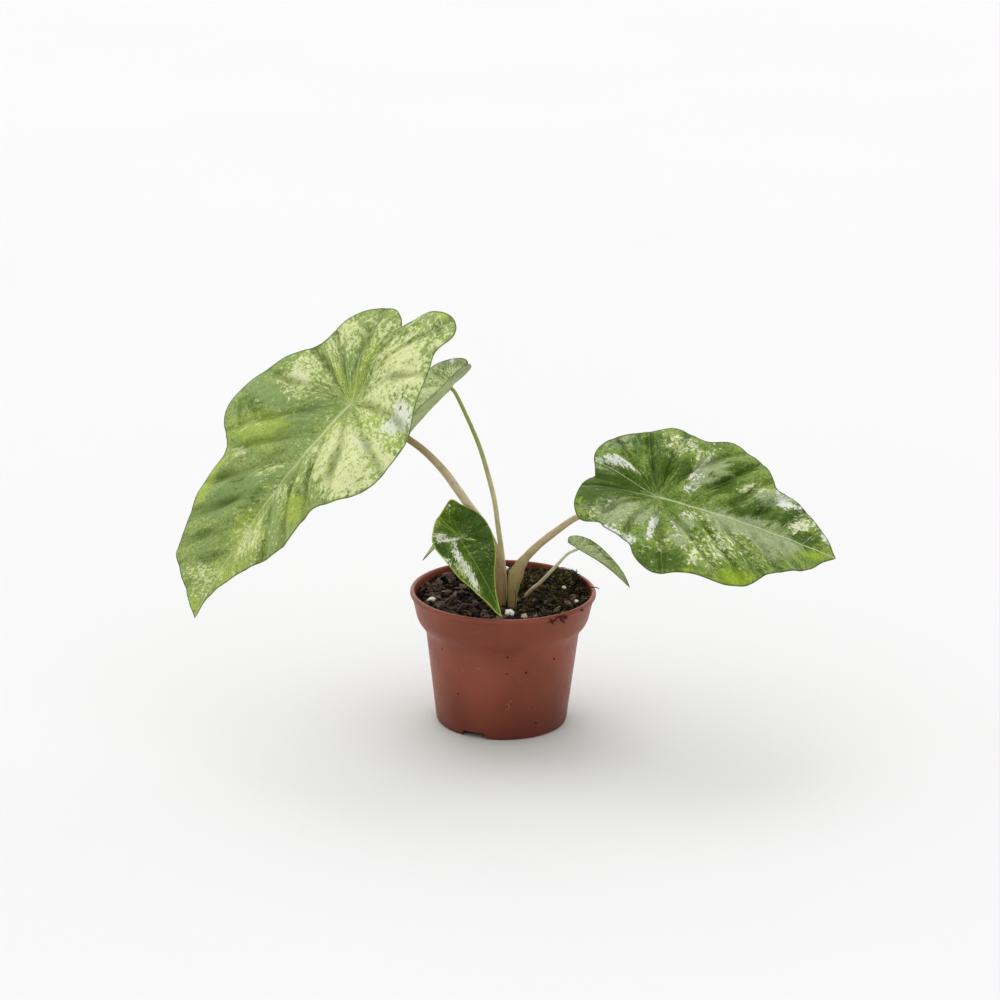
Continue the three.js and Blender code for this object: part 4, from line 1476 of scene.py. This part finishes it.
def turn_matrices(spin: Array, lean_x: Array, lean_y: Array) -> Array:
    """Works out the turns Rz(spin) Ry(lean_y) Rx(lean_x).

    Args:
        spin: Angles about the upright axis.
        lean_x: Angles about x, which come first.
        lean_y: Angles about y.

    Returns:
        A 3 x 3 matrix for each set of angles.
    """
    zero, one = np.zeros_like(spin), np.ones_like(spin)
    about_z = np.array([[np.cos(spin), -np.sin(spin), zero], [np.sin(spin), np.cos(spin), zero],
                        [zero, zero, one]])
    about_y = np.array([[np.cos(lean_y), zero, np.sin(lean_y)], [zero, one, zero],
                        [-np.sin(lean_y), zero, np.cos(lean_y)]])
    about_x = np.array([[one, zero, zero], [zero, np.cos(lean_x), -np.sin(lean_x)],
                        [zero, np.sin(lean_x), np.cos(lean_x)]])
    return np.einsum("ijn,jkn,kln->nil", about_z, about_y, about_x)


def plate(sides: int) -> Shell:
    """Makes a small closed block with a flat top and foot, 1 in half size each way.

    Its rings are (r cos a, r sin a, z), widest a little over the middle.

    Args:
        sides: How many sides it has.

    Returns:
        The block.
    """
    angle = -2 * np.pi * np.arange(sides) / sides
    loops = [(0.72, 1.0), (1.0, 0.45), (0.96, -0.5), (0.6, -1.0)]
    rings = np.array([np.column_stack([r * np.cos(angle), r * np.sin(angle), np.full(sides, z)])
                      for r, z in loops])
    return Shell.from_rings(np.array([0, 0, 1.05]), rings[:, ::-1], np.array([0, 0, -1.05]))


def lumpy_ball(rows: int, columns: int) -> Shell:
    """Makes a ball with bumps: radius 1 + 0.14 sin(4a) sin(3b) + 0.09 sin(b) cos(7a + 5b).

    Args:
        rows: How many rings it has between its poles.
        columns: How many points a ring has.

    Returns:
        The ball.
    """
    b, a = np.meshgrid(np.pi * (np.arange(rows) + 1) / (rows + 1),
                       -2 * np.pi * np.arange(columns) / columns, indexing="ij")
    radius = 1 + 0.14 * np.sin(4 * a) * np.sin(3 * b) + 0.09 * np.sin(b) * np.cos(7 * a + 5 * b)
    rings = radius[..., None] * np.stack([np.sin(b) * np.cos(a), np.sin(b) * np.sin(a), np.cos(b)], -1)
    return Shell.from_rings(np.array([0, 0, 1.0]), rings[:, ::-1], np.array([0, 0, -1.0]))


@dataclass
class Studio:
    """The pale floor, the soft light and the camera at the usual view of the plant."""

    floor_half: float = 10.0
    floor_gap: float = 0.1
    eye: tuple[float, float, float] = (-0.002747, -1.888305, 0.747013)
    right: tuple[float, float, float] = (0.99991, 0.00396, 0.01248)
    up: tuple[float, float, float] = (-0.01309, 0.30234, 0.95311)
    forward: tuple[float, float, float] = (0.0, 0.95319, -0.30237)
    lens: float = 111.67
    sensor: float = 36.0
    clip: tuple[float, float] = (0.05, 50.0)
    sky_level: float = 0.97
    sky_slope: tuple[float, float, float] = (-0.06, 0.27, 0.08)
    sun_power: float = 0.42
    sun_width: float = 40.0
    sun_tilt: tuple[float, float] = (-30.0, -8.0)

    def build(self) -> None:
        """Makes the floor, the lights and the camera."""
        scene = bpy.context.scene
        half = self.floor_half / MM
        corners = half * np.array([[-1, -1, 0], [1, -1, 0], [1, 1, 0], [-1, 1, 0]]) - [0, 0, self.floor_gap]
        floor = Shell(corners, np.array([[0, 1, 2, 3]]), np.zeros((0, 3), int)).to_object("studio_floor")
        floor.data.materials.append(SeamlessPaper().material())
        # The studio is brightest overhead and behind the plant, and dim on the camera's side.
        sky = Graph(bpy.data.worlds.new("studio_sky"))
        slope = sky.add("VectorMath", (sky.add("TexCoord", out="Generated"), self.sky_slope), out="Value",
                        operation="DOT_PRODUCT")
        level = sky.add("Math", (slope, self.sky_level), operation="ADD")
        scene.world = sky.closed(sky.add("Background", ((1, 1, 1, 1), level)))
        lamp = bpy.data.lights.new("soft_top_light", "SUN")
        lamp.angle = math.radians(self.sun_width)
        lamp.energy = self.sun_power
        top_light = bpy.data.objects.new("soft_top_light", lamp)
        top_light.rotation_euler = (math.radians(self.sun_tilt[0]), math.radians(self.sun_tilt[1]), 0)
        scene.collection.objects.link(top_light)
        lens = bpy.data.cameras.new("front_camera")
        lens.lens = self.lens
        lens.sensor_width = self.sensor
        lens.clip_start, lens.clip_end = self.clip
        camera = bpy.data.objects.new("front_camera", lens)
        axes = np.column_stack([self.right, self.up, -np.array(self.forward), self.eye])
        camera.matrix_world = Matrix(np.vstack([axes, [0, 0, 0, 1]]).tolist())
        scene.collection.objects.link(camera)
        scene.camera = camera
        scene.view_settings.view_transform = "Standard"
        scene.view_settings.look = "Medium High Contrast"
        log.info("studio: floor, sky, soft box and camera")


def marbling(scale: float, grey: str, deep: str, lime: str, cream: str, white: str) -> tuple[Marbling, ...]:
    """Returns the five colours of a leaf's marbling, each laid over the one before.

    Args:
        scale: The size of its grain next to a full-grown leaf's.
        grey: The colour of the milky green tissue.
        deep: The colour of the dark green tissue.
        lime: The colour of the yellow-green tissue.
        cream: The colour of the cream tissue.
        white: The colour of the white tissue.

    Returns:
        The five colours.
    """
    return (
        Marbling(Tone.GREY, grey, (8 * scale, 16 * scale), 5.0, -0.45, 0.8, 0.8),
        Marbling(Tone.DEEP, deep, (5 * scale, 9 * scale), 6.5, -0.45, 1.2, 0.85),
        Marbling(Tone.LIME, lime, (4 * scale, 7 * scale), 5.5, -0.6, 1.3, 0.75),
        Marbling(Tone.CREAM, cream, (2.4 * scale, 3.4 * scale), 9.5, -1.05, 0.9, 0.94),
        Marbling(Tone.WHITE, white, (2.2 * scale, 3.6 * scale), 8.5, -1.05, 0.6, 0.97),
    )


LARGE_LEAF_SKIN = LeafSkin(
    "pale_leaf_skin", "#adc276", "#c8d892",
    marbling(1.0, "#aac084", "#76903e", "#d0e070", "#fdffd2", "#fffff6"),
    "#eef6c8", "#5f7034", "#d4e2ae", roughness=0.42, translucency=0.38, vein_show=0.25, midrib_width=2.4,
    crease_shade_strength=0.66, crease_width=5.0, threading=0.4)
RIGHT_LEAF_SKIN = LeafSkin(
    "marbled_leaf_skin", "#86a440", "#a8be66",
    marbling(1.0, "#c2cfa4", "#537218", "#b6d03a", "#fbfcdc", "#fffffa"),
    "#e6edc8", "#4c6224", "#b9cb96", roughness=0.36, translucency=0.26, vein_show=0.22, midrib_width=1.5,
    crease_shade_strength=0.6)
FRONT_LEAF_SKIN = LeafSkin(
    "dark_leaf_skin", "#618012", "#799622",
    marbling(0.6, "#a6b87c", "#40600a", "#a2bc34", "#e8f2c0", "#fdfef2"),
    "#a6be62", "#c6d864", "#a0b872", roughness=0.3, translucency=0.2, vein_show=0.12, midrib_width=0.8,
    threading=0.4, crease_width=2.5, crease_shade_strength=0.35)
YOUNG_LEAF_SKIN = LeafSkin(
    "young_leaf_skin", "#d6e0a4", "#e8eebc",
    marbling(0.6, "#c0cba2", "#708a36", "#d2e070", "#fdfee0", "#fdfff0"),
    "#d0dc9c", "#6e784a", "#c8d8a8", roughness=0.42, translucency=0.3, vein_show=0.2, midrib_width=0.8,
    crease_width=2.0, crease_shade_strength=0.4)
BACK_LEAF_SKIN = LeafSkin(
    "pale_back_leaf_skin", "#e0e8b4", "#f2f8c8",
    marbling(0.7, "#a0ae88", "#86a058", "#dcea80", "#fdffdc", "#fffff6"),
    "#e8f0c8", "#747f5c", "#c2cda4", roughness=0.42, translucency=0.36, midrib_width=1.0, crease_width=2.5,
    crease_shade_strength=0.6)

LARGE_LEAF = LeafBlade(
    node="blade_1_large_left", slot="leaf_light",
    hub=(-95.4, -50, 224), heading=200, drop=44, roll=20, bend=16,
    back_bend=4, fold=(16, 16), curl=20, tip=170, sweep=(-12, -12), back_length=30,
    veins=Veins(0.9, 0.002, 24, 28), quilt=2.5, wave=0.9, waves=7,
    left=((170, 0), (152, 4), (136, 13), (119, 24), (106, 35), (95, 42), (84, 46), (71, 46), (60, 48),
          (48, 58), (38, 68), (26, 74), (13, 74), (-8, 72), (-24, 68), (-43, 55), (-58, 44), (-73, 45),
          (-81, 31), (-77, 12), (-66, 1), (-57, -3)),
    right=((170, 0), (162, -11), (146, -34), (138, -38), (125, -41), (101, -49), (84, -50), (70, -52),
           (60, -66), (50, -72), (34, -72), (18, -68), (0, -60), (-19, -39), (-38, -36), (-52, -29),
           (-62, -17), (-61, -8), (-57, -3)),
    skin=LARGE_LEAF_SKIN, rings=96, spokes=170, rib_height=1.6,
    patches={
        Tone.CREAM: ((10, -40, 12, 9, 83, 0.9), (-3, -44, 13, 7, -63, 0.5), (-2, -24, 11, 8, -80, 0.45),
                     (51, -47, 11, 4, -61, 0.4), (68, -41, 7, 4, -63, 0.95), (64, -13, 8, 4, -39, 0.5),
                     (57, -8, 5, 1, -25, 0.9), (142, -16, 11, 7, -61, 0.45),
                     (114, -29, 7, 4, -60, 0.35), (69, 8, 14, 6, -75, 0.5), (103, 8, 14, 11, -87, 0.6),
                     (137, 0, 13, 7, -55, 0.35), (32, 42, 33, 14, -75, 0.8), (35, 7, 6, 2, -73, 0.9),
                     (15, 41, 15, 4, -72, 0.8), (19, 18, 17, 10, -88, 0.6), (12, 72, 12, 6, -89, 0.7),
                     (-12, 29, 20, 8, -70, 0.6), (-38, 44, 16, 9, -90, 0.85),
                     (-25, 29, 16, 8, -82, 0.65), (-42, 22, 15, 7, -69, 0.6),
                     (-62, 18, 17, 14, -53, 0.45), (-64, 43, 6, 3, 85, 0.6),
                     (-33, -30, 9, 7, -82, 0.65), (-51, -14, 10, 8, -72, 0.4),
                     (-21, -31, 7, 6, -78, 0.6), (3, 45, 40, 27, 64, 0.5), (-47, 32, 21, 18, -78, 0.4),
                     (-46, -3, 17, 10, 20, 0.35), (101, 18, 35, 19, -5, 0.25),
                     (-31, -19, 18, 15, 72, 0.35), (36, -34, 21, 5, -47, 0.25),
                     (153, -5, 10, 9, 38, 0.4), (41, 48, 11, 6, 74, 0.9)),
        Tone.LIME: ((48, -43, 19, 6, -45, 0.95), (84, -49, 10, 5, 8, 1), (103, -45, 9, 5, 4, 0.6),
                    (163, -5, 6, 5, 34, 0.8), (102, 6, 14, 11, -87, 0.7), (69, 32, 9, 7, 53, 0.95),
                    (133, 4, 15, 7, -59, 0.6), (19, 18, 19, 7, -88, 0.6), (-4, 27, 17, 9, -77, 0.5),
                    (-42, 22, 15, 7, -69, 1), (-77, 22, 9, 3, -72, 0.5), (-22, -4, 15, 3, 2, 1),
                    (-8, -17, 7, 3, 55, 0.6), (3, 45, 43, 29, 70, 0.5), (101, 18, 35, 19, -5, 0.3),
                    (50, -29, 17, 8, -40, 0.45)),
        Tone.DEEP: ((43, -57, 14, 5, -61, 0.6), (89, -8, 9, 5, -20, 0.4), (102, 26, 9, 4, 42, 0.8),
                    (63, 30, 6, 4, 55, 0.6), (11, 36, 8, 4, 70, 0.9), (45, 52, 6, 4, 89, 0.7),
                    (38, 66, 10, 2, -47, 0.5), (-9, 51, 6, 3, -72, 0.9), (-22, 48, 9, 5, -73, 0.9),
                    (-31, 11, 17, 9, -1, 0.5)),
        Tone.WHITE: ((-15, 60, 12, 8, -84, 1), (-4, 53, 6, 3, -70, 0.9), (13, 44, 12, 5, -68, 0.6),
                     (7, -39, 8, 6, 70, 0.5), (67, -40, 7, 3, -61, 0.5)),
        Tone.GREY: ((27, -22, 30, 10, -41, 0.5), (76, -15, 23, 10, -29, 0.5),
                    (30, -51, 19, 9, -62, 0.7), (38, -22, 15, 10, -66, 0.6), (96, -24, 17, 6, -31, 0.8),
                    (132, -14, 12, 8, -17, 0.5), (86, 23, 12, 11, 77, 0.7), (30, 64, 12, 6, -73, 0.8),
                    (-62, 18, 17, 14, -53, 0.4), (-49, -18, 13, 8, -60, 0.5),
                    (-21, -16, 12, 8, 19, 0.6)),
    })

FOLDED_LEAF = LeafBlade(
    node="blade_2_folded_back", slot="leaf_light",
    hub=(-35.4, 18, 217.1), heading=188, drop=44, roll=8, bend=22,
    back_bend=20, fold=(40, 32), curl=30, tip=70, sweep=(0, 0), back_length=20,
    veins=Veins(0.8, 0.004, 13, 30), quilt=0.8, wave=0.8, waves=6,
    left=((70, 0), (63, 3), (52, 8), (39, 13), (25, 18), (11, 20), (-2, 19), (-11, 17), (-18, 13),
          (-20, 8), (-18, 3.5), (-12, 1.2), (-4, 0)),
    right=((70, 0), (63, -3), (52, -9), (39, -14), (25, -19), (11, -21.5), (-2, -21), (-10, -18),
           (-16, -13), (-19, -8), (-18, -3.5), (-12, -1.2), (-4, 0)),
    skin=BACK_LEAF_SKIN, rings=56, spokes=90, rib_height=1.0,
    patches={
        Tone.CREAM: ((2, 8, 10, 6, 40, 0.8), (12, -8, 16, 7, -30, 0.9), (30, 8, 16, 6, 20, 0.7),
                     (48, -3, 12, 5, 0, 0.7), (-8, -8, 7, 3, -40, 0.8)),
        Tone.LIME: ((20, 10, 10, 5, 30, 0.6), (34, -9, 12, 4, -20, 0.6)),
        Tone.DEEP: ((8, 14, 7, 3, 20, 0.7), (-3, -10, 7, 4, 60, 0.6)),
        Tone.WHITE: ((-12, -15, 5, 2, 60, 0.8), (-15, 11, 4, 2, -60, 0.8)),
        Tone.GREY: ((-13, 12, 8, 6, 30, 1), (-12, -12, 8, 6, -30, 1)),
    })

RIGHT_LEAF = LeafBlade(
    node="blade_3_right", slot="leaf_dark",
    hub=(96.8, -30, 160.2), heading=-6, drop=14, roll=-25, bend=10,
    back_bend=4, fold=(10, 10), curl=15, tip=119, sweep=(4, 3), back_length=30,
    veins=Veins(0.6, 0.003, 19, 27), quilt=2.4, wave=0.9, waves=8,
    left=((119, 0), (111, 10), (101, 20), (90, 30), (80, 34), (71, 35), (67, 43), (60, 52), (50, 58),
          (42, 63), (34, 63), (21, 56), (9, 59), (2, 61), (-6, 59), (-24, 44), (-35, 36), (-43, 27),
          (-46, 18), (-44, 9), (-42, 1)),
    right=((119, 0), (111, -9), (102, -23), (88, -34), (76, -43), (68, -55), (59, -62), (47, -65),
           (32, -65), (21, -67), (9, -72), (0, -69), (-7, -63), (-12, -55), (-27, -50), (-32, -45),
           (-41, -46), (-46, -43), (-50, -33), (-50, -22), (-48, -11), (-42, 1)),
    skin=RIGHT_LEAF_SKIN, rings=90, spokes=160, rib_height=1.4,
    patches={
        Tone.WHITE: ((-33, 14, 12, 3, 0, 1), (-19, 14, 4, 2, -13, 0.7), (-22, -51, 10, 4, -13, 0.95),
                     (-11, -52, 4, 3, 48, 0.9), (0, -29, 9, 2, 81, 0.9), (22, 37, 12, 1, 68, 0.9),
                     (17, 12, 6, 3, 38, 0.6), (76, 29, 8, 3, -73, 1), (82, 26, 8, 2, 26, 1),
                     (109, 10, 5, 2, -49, 1), (97, 25, 5, 2, -33, 0.6), (13, -27, 8, 2, -69, 0.7),
                     (20, -12, 6, 4, 70, 0.6), (11, 45, 12, 9, 61, 0.4), (78, 28, 9, 7, 62, 0.35),
                     (0, -40, 12, 2, 80, 0.9), (19, 22, 6, 5, 52, 0.5)),
        Tone.GREY: ((-34, 8, 8, 3, 4, 0.7), (-33, -23, 15, 6, 27, 0.35), (-18, -30, 18, 9, 42, 0.8),
                    (-30, 32, 14, 5, 35, 0.5), (27, 32, 17, 7, 58, 0.8), (67, 25, 11, 6, 23, 1),
                    (81, 34, 5, 4, 49, 0.6), (79, -9, 15, 11, 44, 0.9), (51, -6, 18, 10, 10, 0.9),
                    (19, -31, 14, 6, -87, 0.6)),
        Tone.DEEP: ((-27, -3, 17, 10, 14, 1), (-42, -9, 10, 8, 56, 0.8), (-36, -22, 12, 7, 27, 0.6),
                    (-17, 40, 18, 7, 42, 0.6), (-4, 23, 13, 6, -83, 0.8), (11, 25, 7, 6, 63, 0.8),
                    (38, 22, 7, 5, 33, 0.9), (46, 40, 9, 6, 45, 0.6), (60, 10, 14, 5, 19, 0.9),
                    (88, 19, 10, 7, 39, 0.9), (95, 5, 10, 6, 5, 0.8), (11, -61, 14, 8, 29, 0.8),
                    (74, -36, 14, 7, 35, 0.4)),
        Tone.LIME: ((-47, -29, 2, 1, 82, 1), (-18, 45, 5, 1, 51, 0.5), (104, -6, 14, 4, 35, 0.6),
                    (56, -56, 11, 5, 30, 1), (28, -63, 8, 2, 19, 0.4)),
        Tone.CREAM: ((-17, -32, 18, 10, 45, 0.25), (-36, -37, 6, 4, 54, 0.5), (5, 45, 8, 6, 37, 0.75),
                     (-2, 51, 6, 5, 62, 0.45), (18, 41, 6, 4, 40, 0.6), (51, 25, 9, 1, 55, 0.8),
                     (62, 30, 7, 3, 28, 0.6), (93, 14, 9, 6, 39, 0.35), (37, -31, 15, 10, 78, 0.4),
                     (30, -49, 8, 5, 79, 0.6), (42, -47, 10, 6, 84, 0.35), (49, -24, 13, 8, 76, 0.35),
                     (5, -48, 11, 7, 36, 0.25), (74, -32, 13, 7, 38, 0.2), (21, -39, 10, 7, 77, 0.35),
                     (60, 24, 9, 5, 23, 0.35), (92, 14, 9, 7, 58, 0.6), (24, -10, 9, 6, 46, 0.6),
                     (54, -34, 16, 10, 44, 0.25)),
    })

FRONT_LEAF = LeafBlade(
    node="blade_4_front", slot="leaf_dark",
    hub=(-28.8, -33, 133.5), heading=-41, drop=42, roll=-14, bend=20,
    back_bend=8, fold=(12, 12), curl=40, tip=58, sweep=(-3, -6), back_length=20,
    veins=Veins(0.7, 0.006, 10, 30), quilt=0.7, wave=0.5, waves=6,
    left=((58, 0), (47, 2), (41, 4), (31, 9), (22, 15), (14, 19), (6, 22), (-3, 23), (-11, 23),
          (-18, 20), (-23, 18), (-24, 15), (-21, 9), (-18, 3)),
    right=((58, 0), (54, -3), (47, -6), (39, -11), (32, -14), (25, -17), (16, -19), (6, -21), (0, -21),
           (-5, -18), (-11, -10), (-16, -2), (-18, 3)),
    skin=FRONT_LEAF_SKIN, rings=64, spokes=110, rib_height=0.8,
    patches={
        Tone.DEEP: ((-2, 17, 16, 10, -34, 1), (29, 4, 22, 7, -20, 1), (3, -18, 6, 4, -46, 0.7),
                    (-8, 14, 9, 6, -62, 0.6)),
        Tone.GREY: ((14, 7, 7, 6, -65, 0.7),),
        Tone.CREAM: ((16, 7, 6, 4, 72, 0.3), (-14, -3, 5, 2, -58, 0.6), (-18, 12, 4, 4, -85, 0.3),
                     (2, 2, 4, 3, -55, 0.4), (21, -12, 6, 5, 37, 0.8), (35, -9, 5, 3, 2, 0.6),
                     (6, 7, 3, 1, 52, 0.7), (-2, 8, 5, 5, -86, 0.2)),
        Tone.WHITE: ((-5, -12, 5, 3, 82, 0.9), (-21, 13, 1, 1, -56, 1), (0, -8, 9, 1, 81, 0.9),
                     (5, -7, 5, 2, -30, 0.7), (13, -10, 7, 3, 3, 0.9), (11, -19, 3, 2, 53, 0.8),
                     (28, -9, 9, 3, -6, 0.9), (16, -19, 3, 2, 85, 0.6)),
    })

YOUNG_LEAF = LeafBlade(
    node="blade_5_young_right", slot="leaf_light",
    hub=(47.7, -15, 121.4), heading=-4, drop=27, roll=-2, bend=50,
    back_bend=10, fold=(24, 18), curl=30, tip=42, sweep=(0, 0), back_length=10,
    veins=Veins(0.8, 0.01, 8, 34), quilt=0.3, wave=0.3, waves=4,
    left=((42, 0), (39, 1.8), (33, 5.2), (24, 9), (15, 11.2), (6, 11.8), (-1, 10.8), (-5, 9),
          (-7.5, 6.6), (-8.5, 3.8), (-7.5, 1), (-5, 0)),
    right=((42, 0), (38, -2), (32, -4.6), (23, -8), (15, -10.4), (6, -11.4), (-1, -10.8), (-5, -9),
           (-7.5, -6.4), (-8.5, -3.8), (-7.5, -1), (-5, 0)),
    skin=YOUNG_LEAF_SKIN, rings=44, spokes=80, rib_height=0.6,
    patches={
        Tone.CREAM: ((10, 3, 14, 8, 10, 0.6), (24, -3, 10, 4, -10, 0.6)),
        Tone.LIME: ((4, -4, 10, 6, 0, 0.5), (20, 4, 12, 4, 0, 0.4)),
        Tone.DEEP: ((14, 8, 12, 3, -10, 0.6), (28, -5, 8, 2, 8, 0.5), (41, 0, 4, 2.5, 0, 1)),
        Tone.GREY: ((24, 0, 12, 3, 0, 0.7),),
    })

HIDDEN_YOUNG_LEAF = LeafBlade(
    node="blade_6_young_back", slot="leaf_light",
    hub=(-28.4, 12, 127.8), heading=192, drop=40, roll=0, bend=24,
    back_bend=10, fold=(14, 14), curl=30, tip=34, sweep=(0, 0), back_length=10,
    veins=Veins(0.8, 0.01, 8, 34), quilt=0.25, wave=0.2, waves=4,
    left=((34, 0), (31, 1.2), (26, 2.6), (19, 4.8), (12, 6.8), (5, 8), (-1, 7.8), (-5, 6.9), (-8, 4.8),
          (-9, 2.7), (-8, 0.8), (-6, 0)),
    right=((34, 0), (31, -1.2), (26, -2.6), (19, -4.8), (12, -6.8), (5, -8), (-1, -7.8), (-5, -6.9),
           (-8, -4.8), (-9, -2.7), (-8, -0.8), (-6, 0)),
    skin=YOUNG_LEAF_SKIN, rings=40, spokes=70, rib_height=0.5,
    patches={
        Tone.GREY: ((22, 0, 14, 6, 0, 1), (34, 0, 6, 3, 0, 1)),
        Tone.CREAM: ((4, 3, 8, 4, 20, 0.5),),
        Tone.DEEP: ((10, -4, 8, 3, -10, 0.6),),
    })

TAN_STALK = StalkSkin("tan_stalk_skin", "#87774f", "#cfbfa2", "#a68d66", "#8c7450")
OLIVE_STALK = StalkSkin("olive_stalk_skin", "#98a45a", "#c9c3a0", "#c8b894", "#958d60")
GREEN_TAN_STALK = StalkSkin("green_tan_stalk_skin", "#c0b096", "#c4b290", "#b5a672", "#8d8258")
PALE_STALK = StalkSkin("pale_young_stalk_skin", "#dcdcc0", "#d0c2a2", "#a8946c", "#968458")

STALKS = (
    LeafStalk(
        "stalk_1_large_left", LARGE_LEAF,
        ((-80, -44.5, 215), (-61, -38, 199.6), (-50.6, -31, 189.5), (-38.8, -23.5, 174.8),
         (-29, -15, 158.4), (-21.3, -11, 145.8), (-14.8, -8, 135.7), (-10, -6, 126.4),
         (-5.8, -4.8, 114.5), (-3.2, -4.6, 102), (-2.2, -5.6, 89.5), (-2.1, -5.5, 77)),
        ((0, 1.7, 1.7), (0.2, 2.2, 2.2), (0.5, 2.8, 2.7), (0.66, 3.2, 3), (0.8, 4.3, 3.8), (0.92, 4.5, 4),
         (1, 3.6, 3.4)),
        TAN_STALK, (0.62, 0.72, 0.95, 0.22), 3),
    LeafStalk(
        "stalk_2_folded_back", FOLDED_LEAF,
        ((-24.6, 17, 198.1), (-16.2, 15, 178.6), (-10.1, 13, 158.9), (-6.3, 11, 144), (-3.7, 8.5, 126.9),
         (-1.6, 6.2, 113), (0, 4.4, 99), (0.6, 3.2, 86), (0.8, 3, 77)),
        ((0, 1.2, 1.2), (0.5, 1.6, 1.6), (0.85, 2, 1.9), (1, 2, 1.9)),
        OLIVE_STALK, neck=3),
    LeafStalk(
        "stalk_3_right", RIGHT_LEAF,
        ((87, -27, 156.5), (71.4, -24, 153.4), (46.4, -18, 143), (32, -14, 131.2), (20.6, -11, 120.2),
         (12.7, -9, 110.6), (7.9, -7, 100), (6.2, -6, 89), (5.8, -5.5, 77)),
        ((0, 1.6, 1.6), (0.3, 1.9, 1.9), (0.55, 2.3, 2.4), (0.64, 2.7, 2.8), (0.69, 3.1, 3.9),
         (0.745, 3.4, 5.1), (0.79, 3.3, 4.2), (0.85, 3.1, 3.1), (1, 2.8, 3)),
        GREEN_TAN_STALK, (0.6, 0.68, 0.86, 0.3), 3),
    LeafStalk(
        "stalk_4_front", FRONT_LEAF,
        ((-25, -27, 124), (-21.3, -22.5, 115.6), (-16.2, -17, 103.7), (-12.3, -13.2, 93.6),
         (-10.4, -11.8, 84.9), (-10, -11.5, 76)),
        ((0, 0.9, 0.9), (0.5, 1.4, 1.4), (1, 1.9, 1.9)),
        OLIVE_STALK),
    LeafStalk(
        "stalk_5_young_right", YOUNG_LEAF,
        ((41, -12, 116.4), (35.2, -9, 108.9), (24.3, -3, 94.1), (17, 1, 85.8), (13.4, 3, 78)),
        ((0, 0.85, 0.85), (0.5, 1.2, 1.2), (0.85, 1.9, 1.8), (1, 1.9, 1.8)),
        PALE_STALK),
    LeafStalk(
        "stalk_6_young_back", HIDDEN_YOUNG_LEAF,
        ((-23.6, 10.6, 116.5), (-17.1, 9, 104.3), (-12.4, 7, 92.8), (-10.4, 6, 84), (-9.8, 5.8, 76)),
        ((0, 0.75, 0.75), (0.5, 1.1, 1.1), (1, 1.7, 1.7)),
        OLIVE_STALK),
)


def main() -> None:
    """Builds the plant in its pot and the studio round it."""
    logging.basicConfig(level=logging.INFO, format="%(message)s", stream=sys.stdout)
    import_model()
    Studio().build()
    NurseryPot().build()
    PottingMix().build()
    for stalk in STALKS:
        stalk.build()
        stalk.blade.build()


if __name__ == "__main__":
    main()
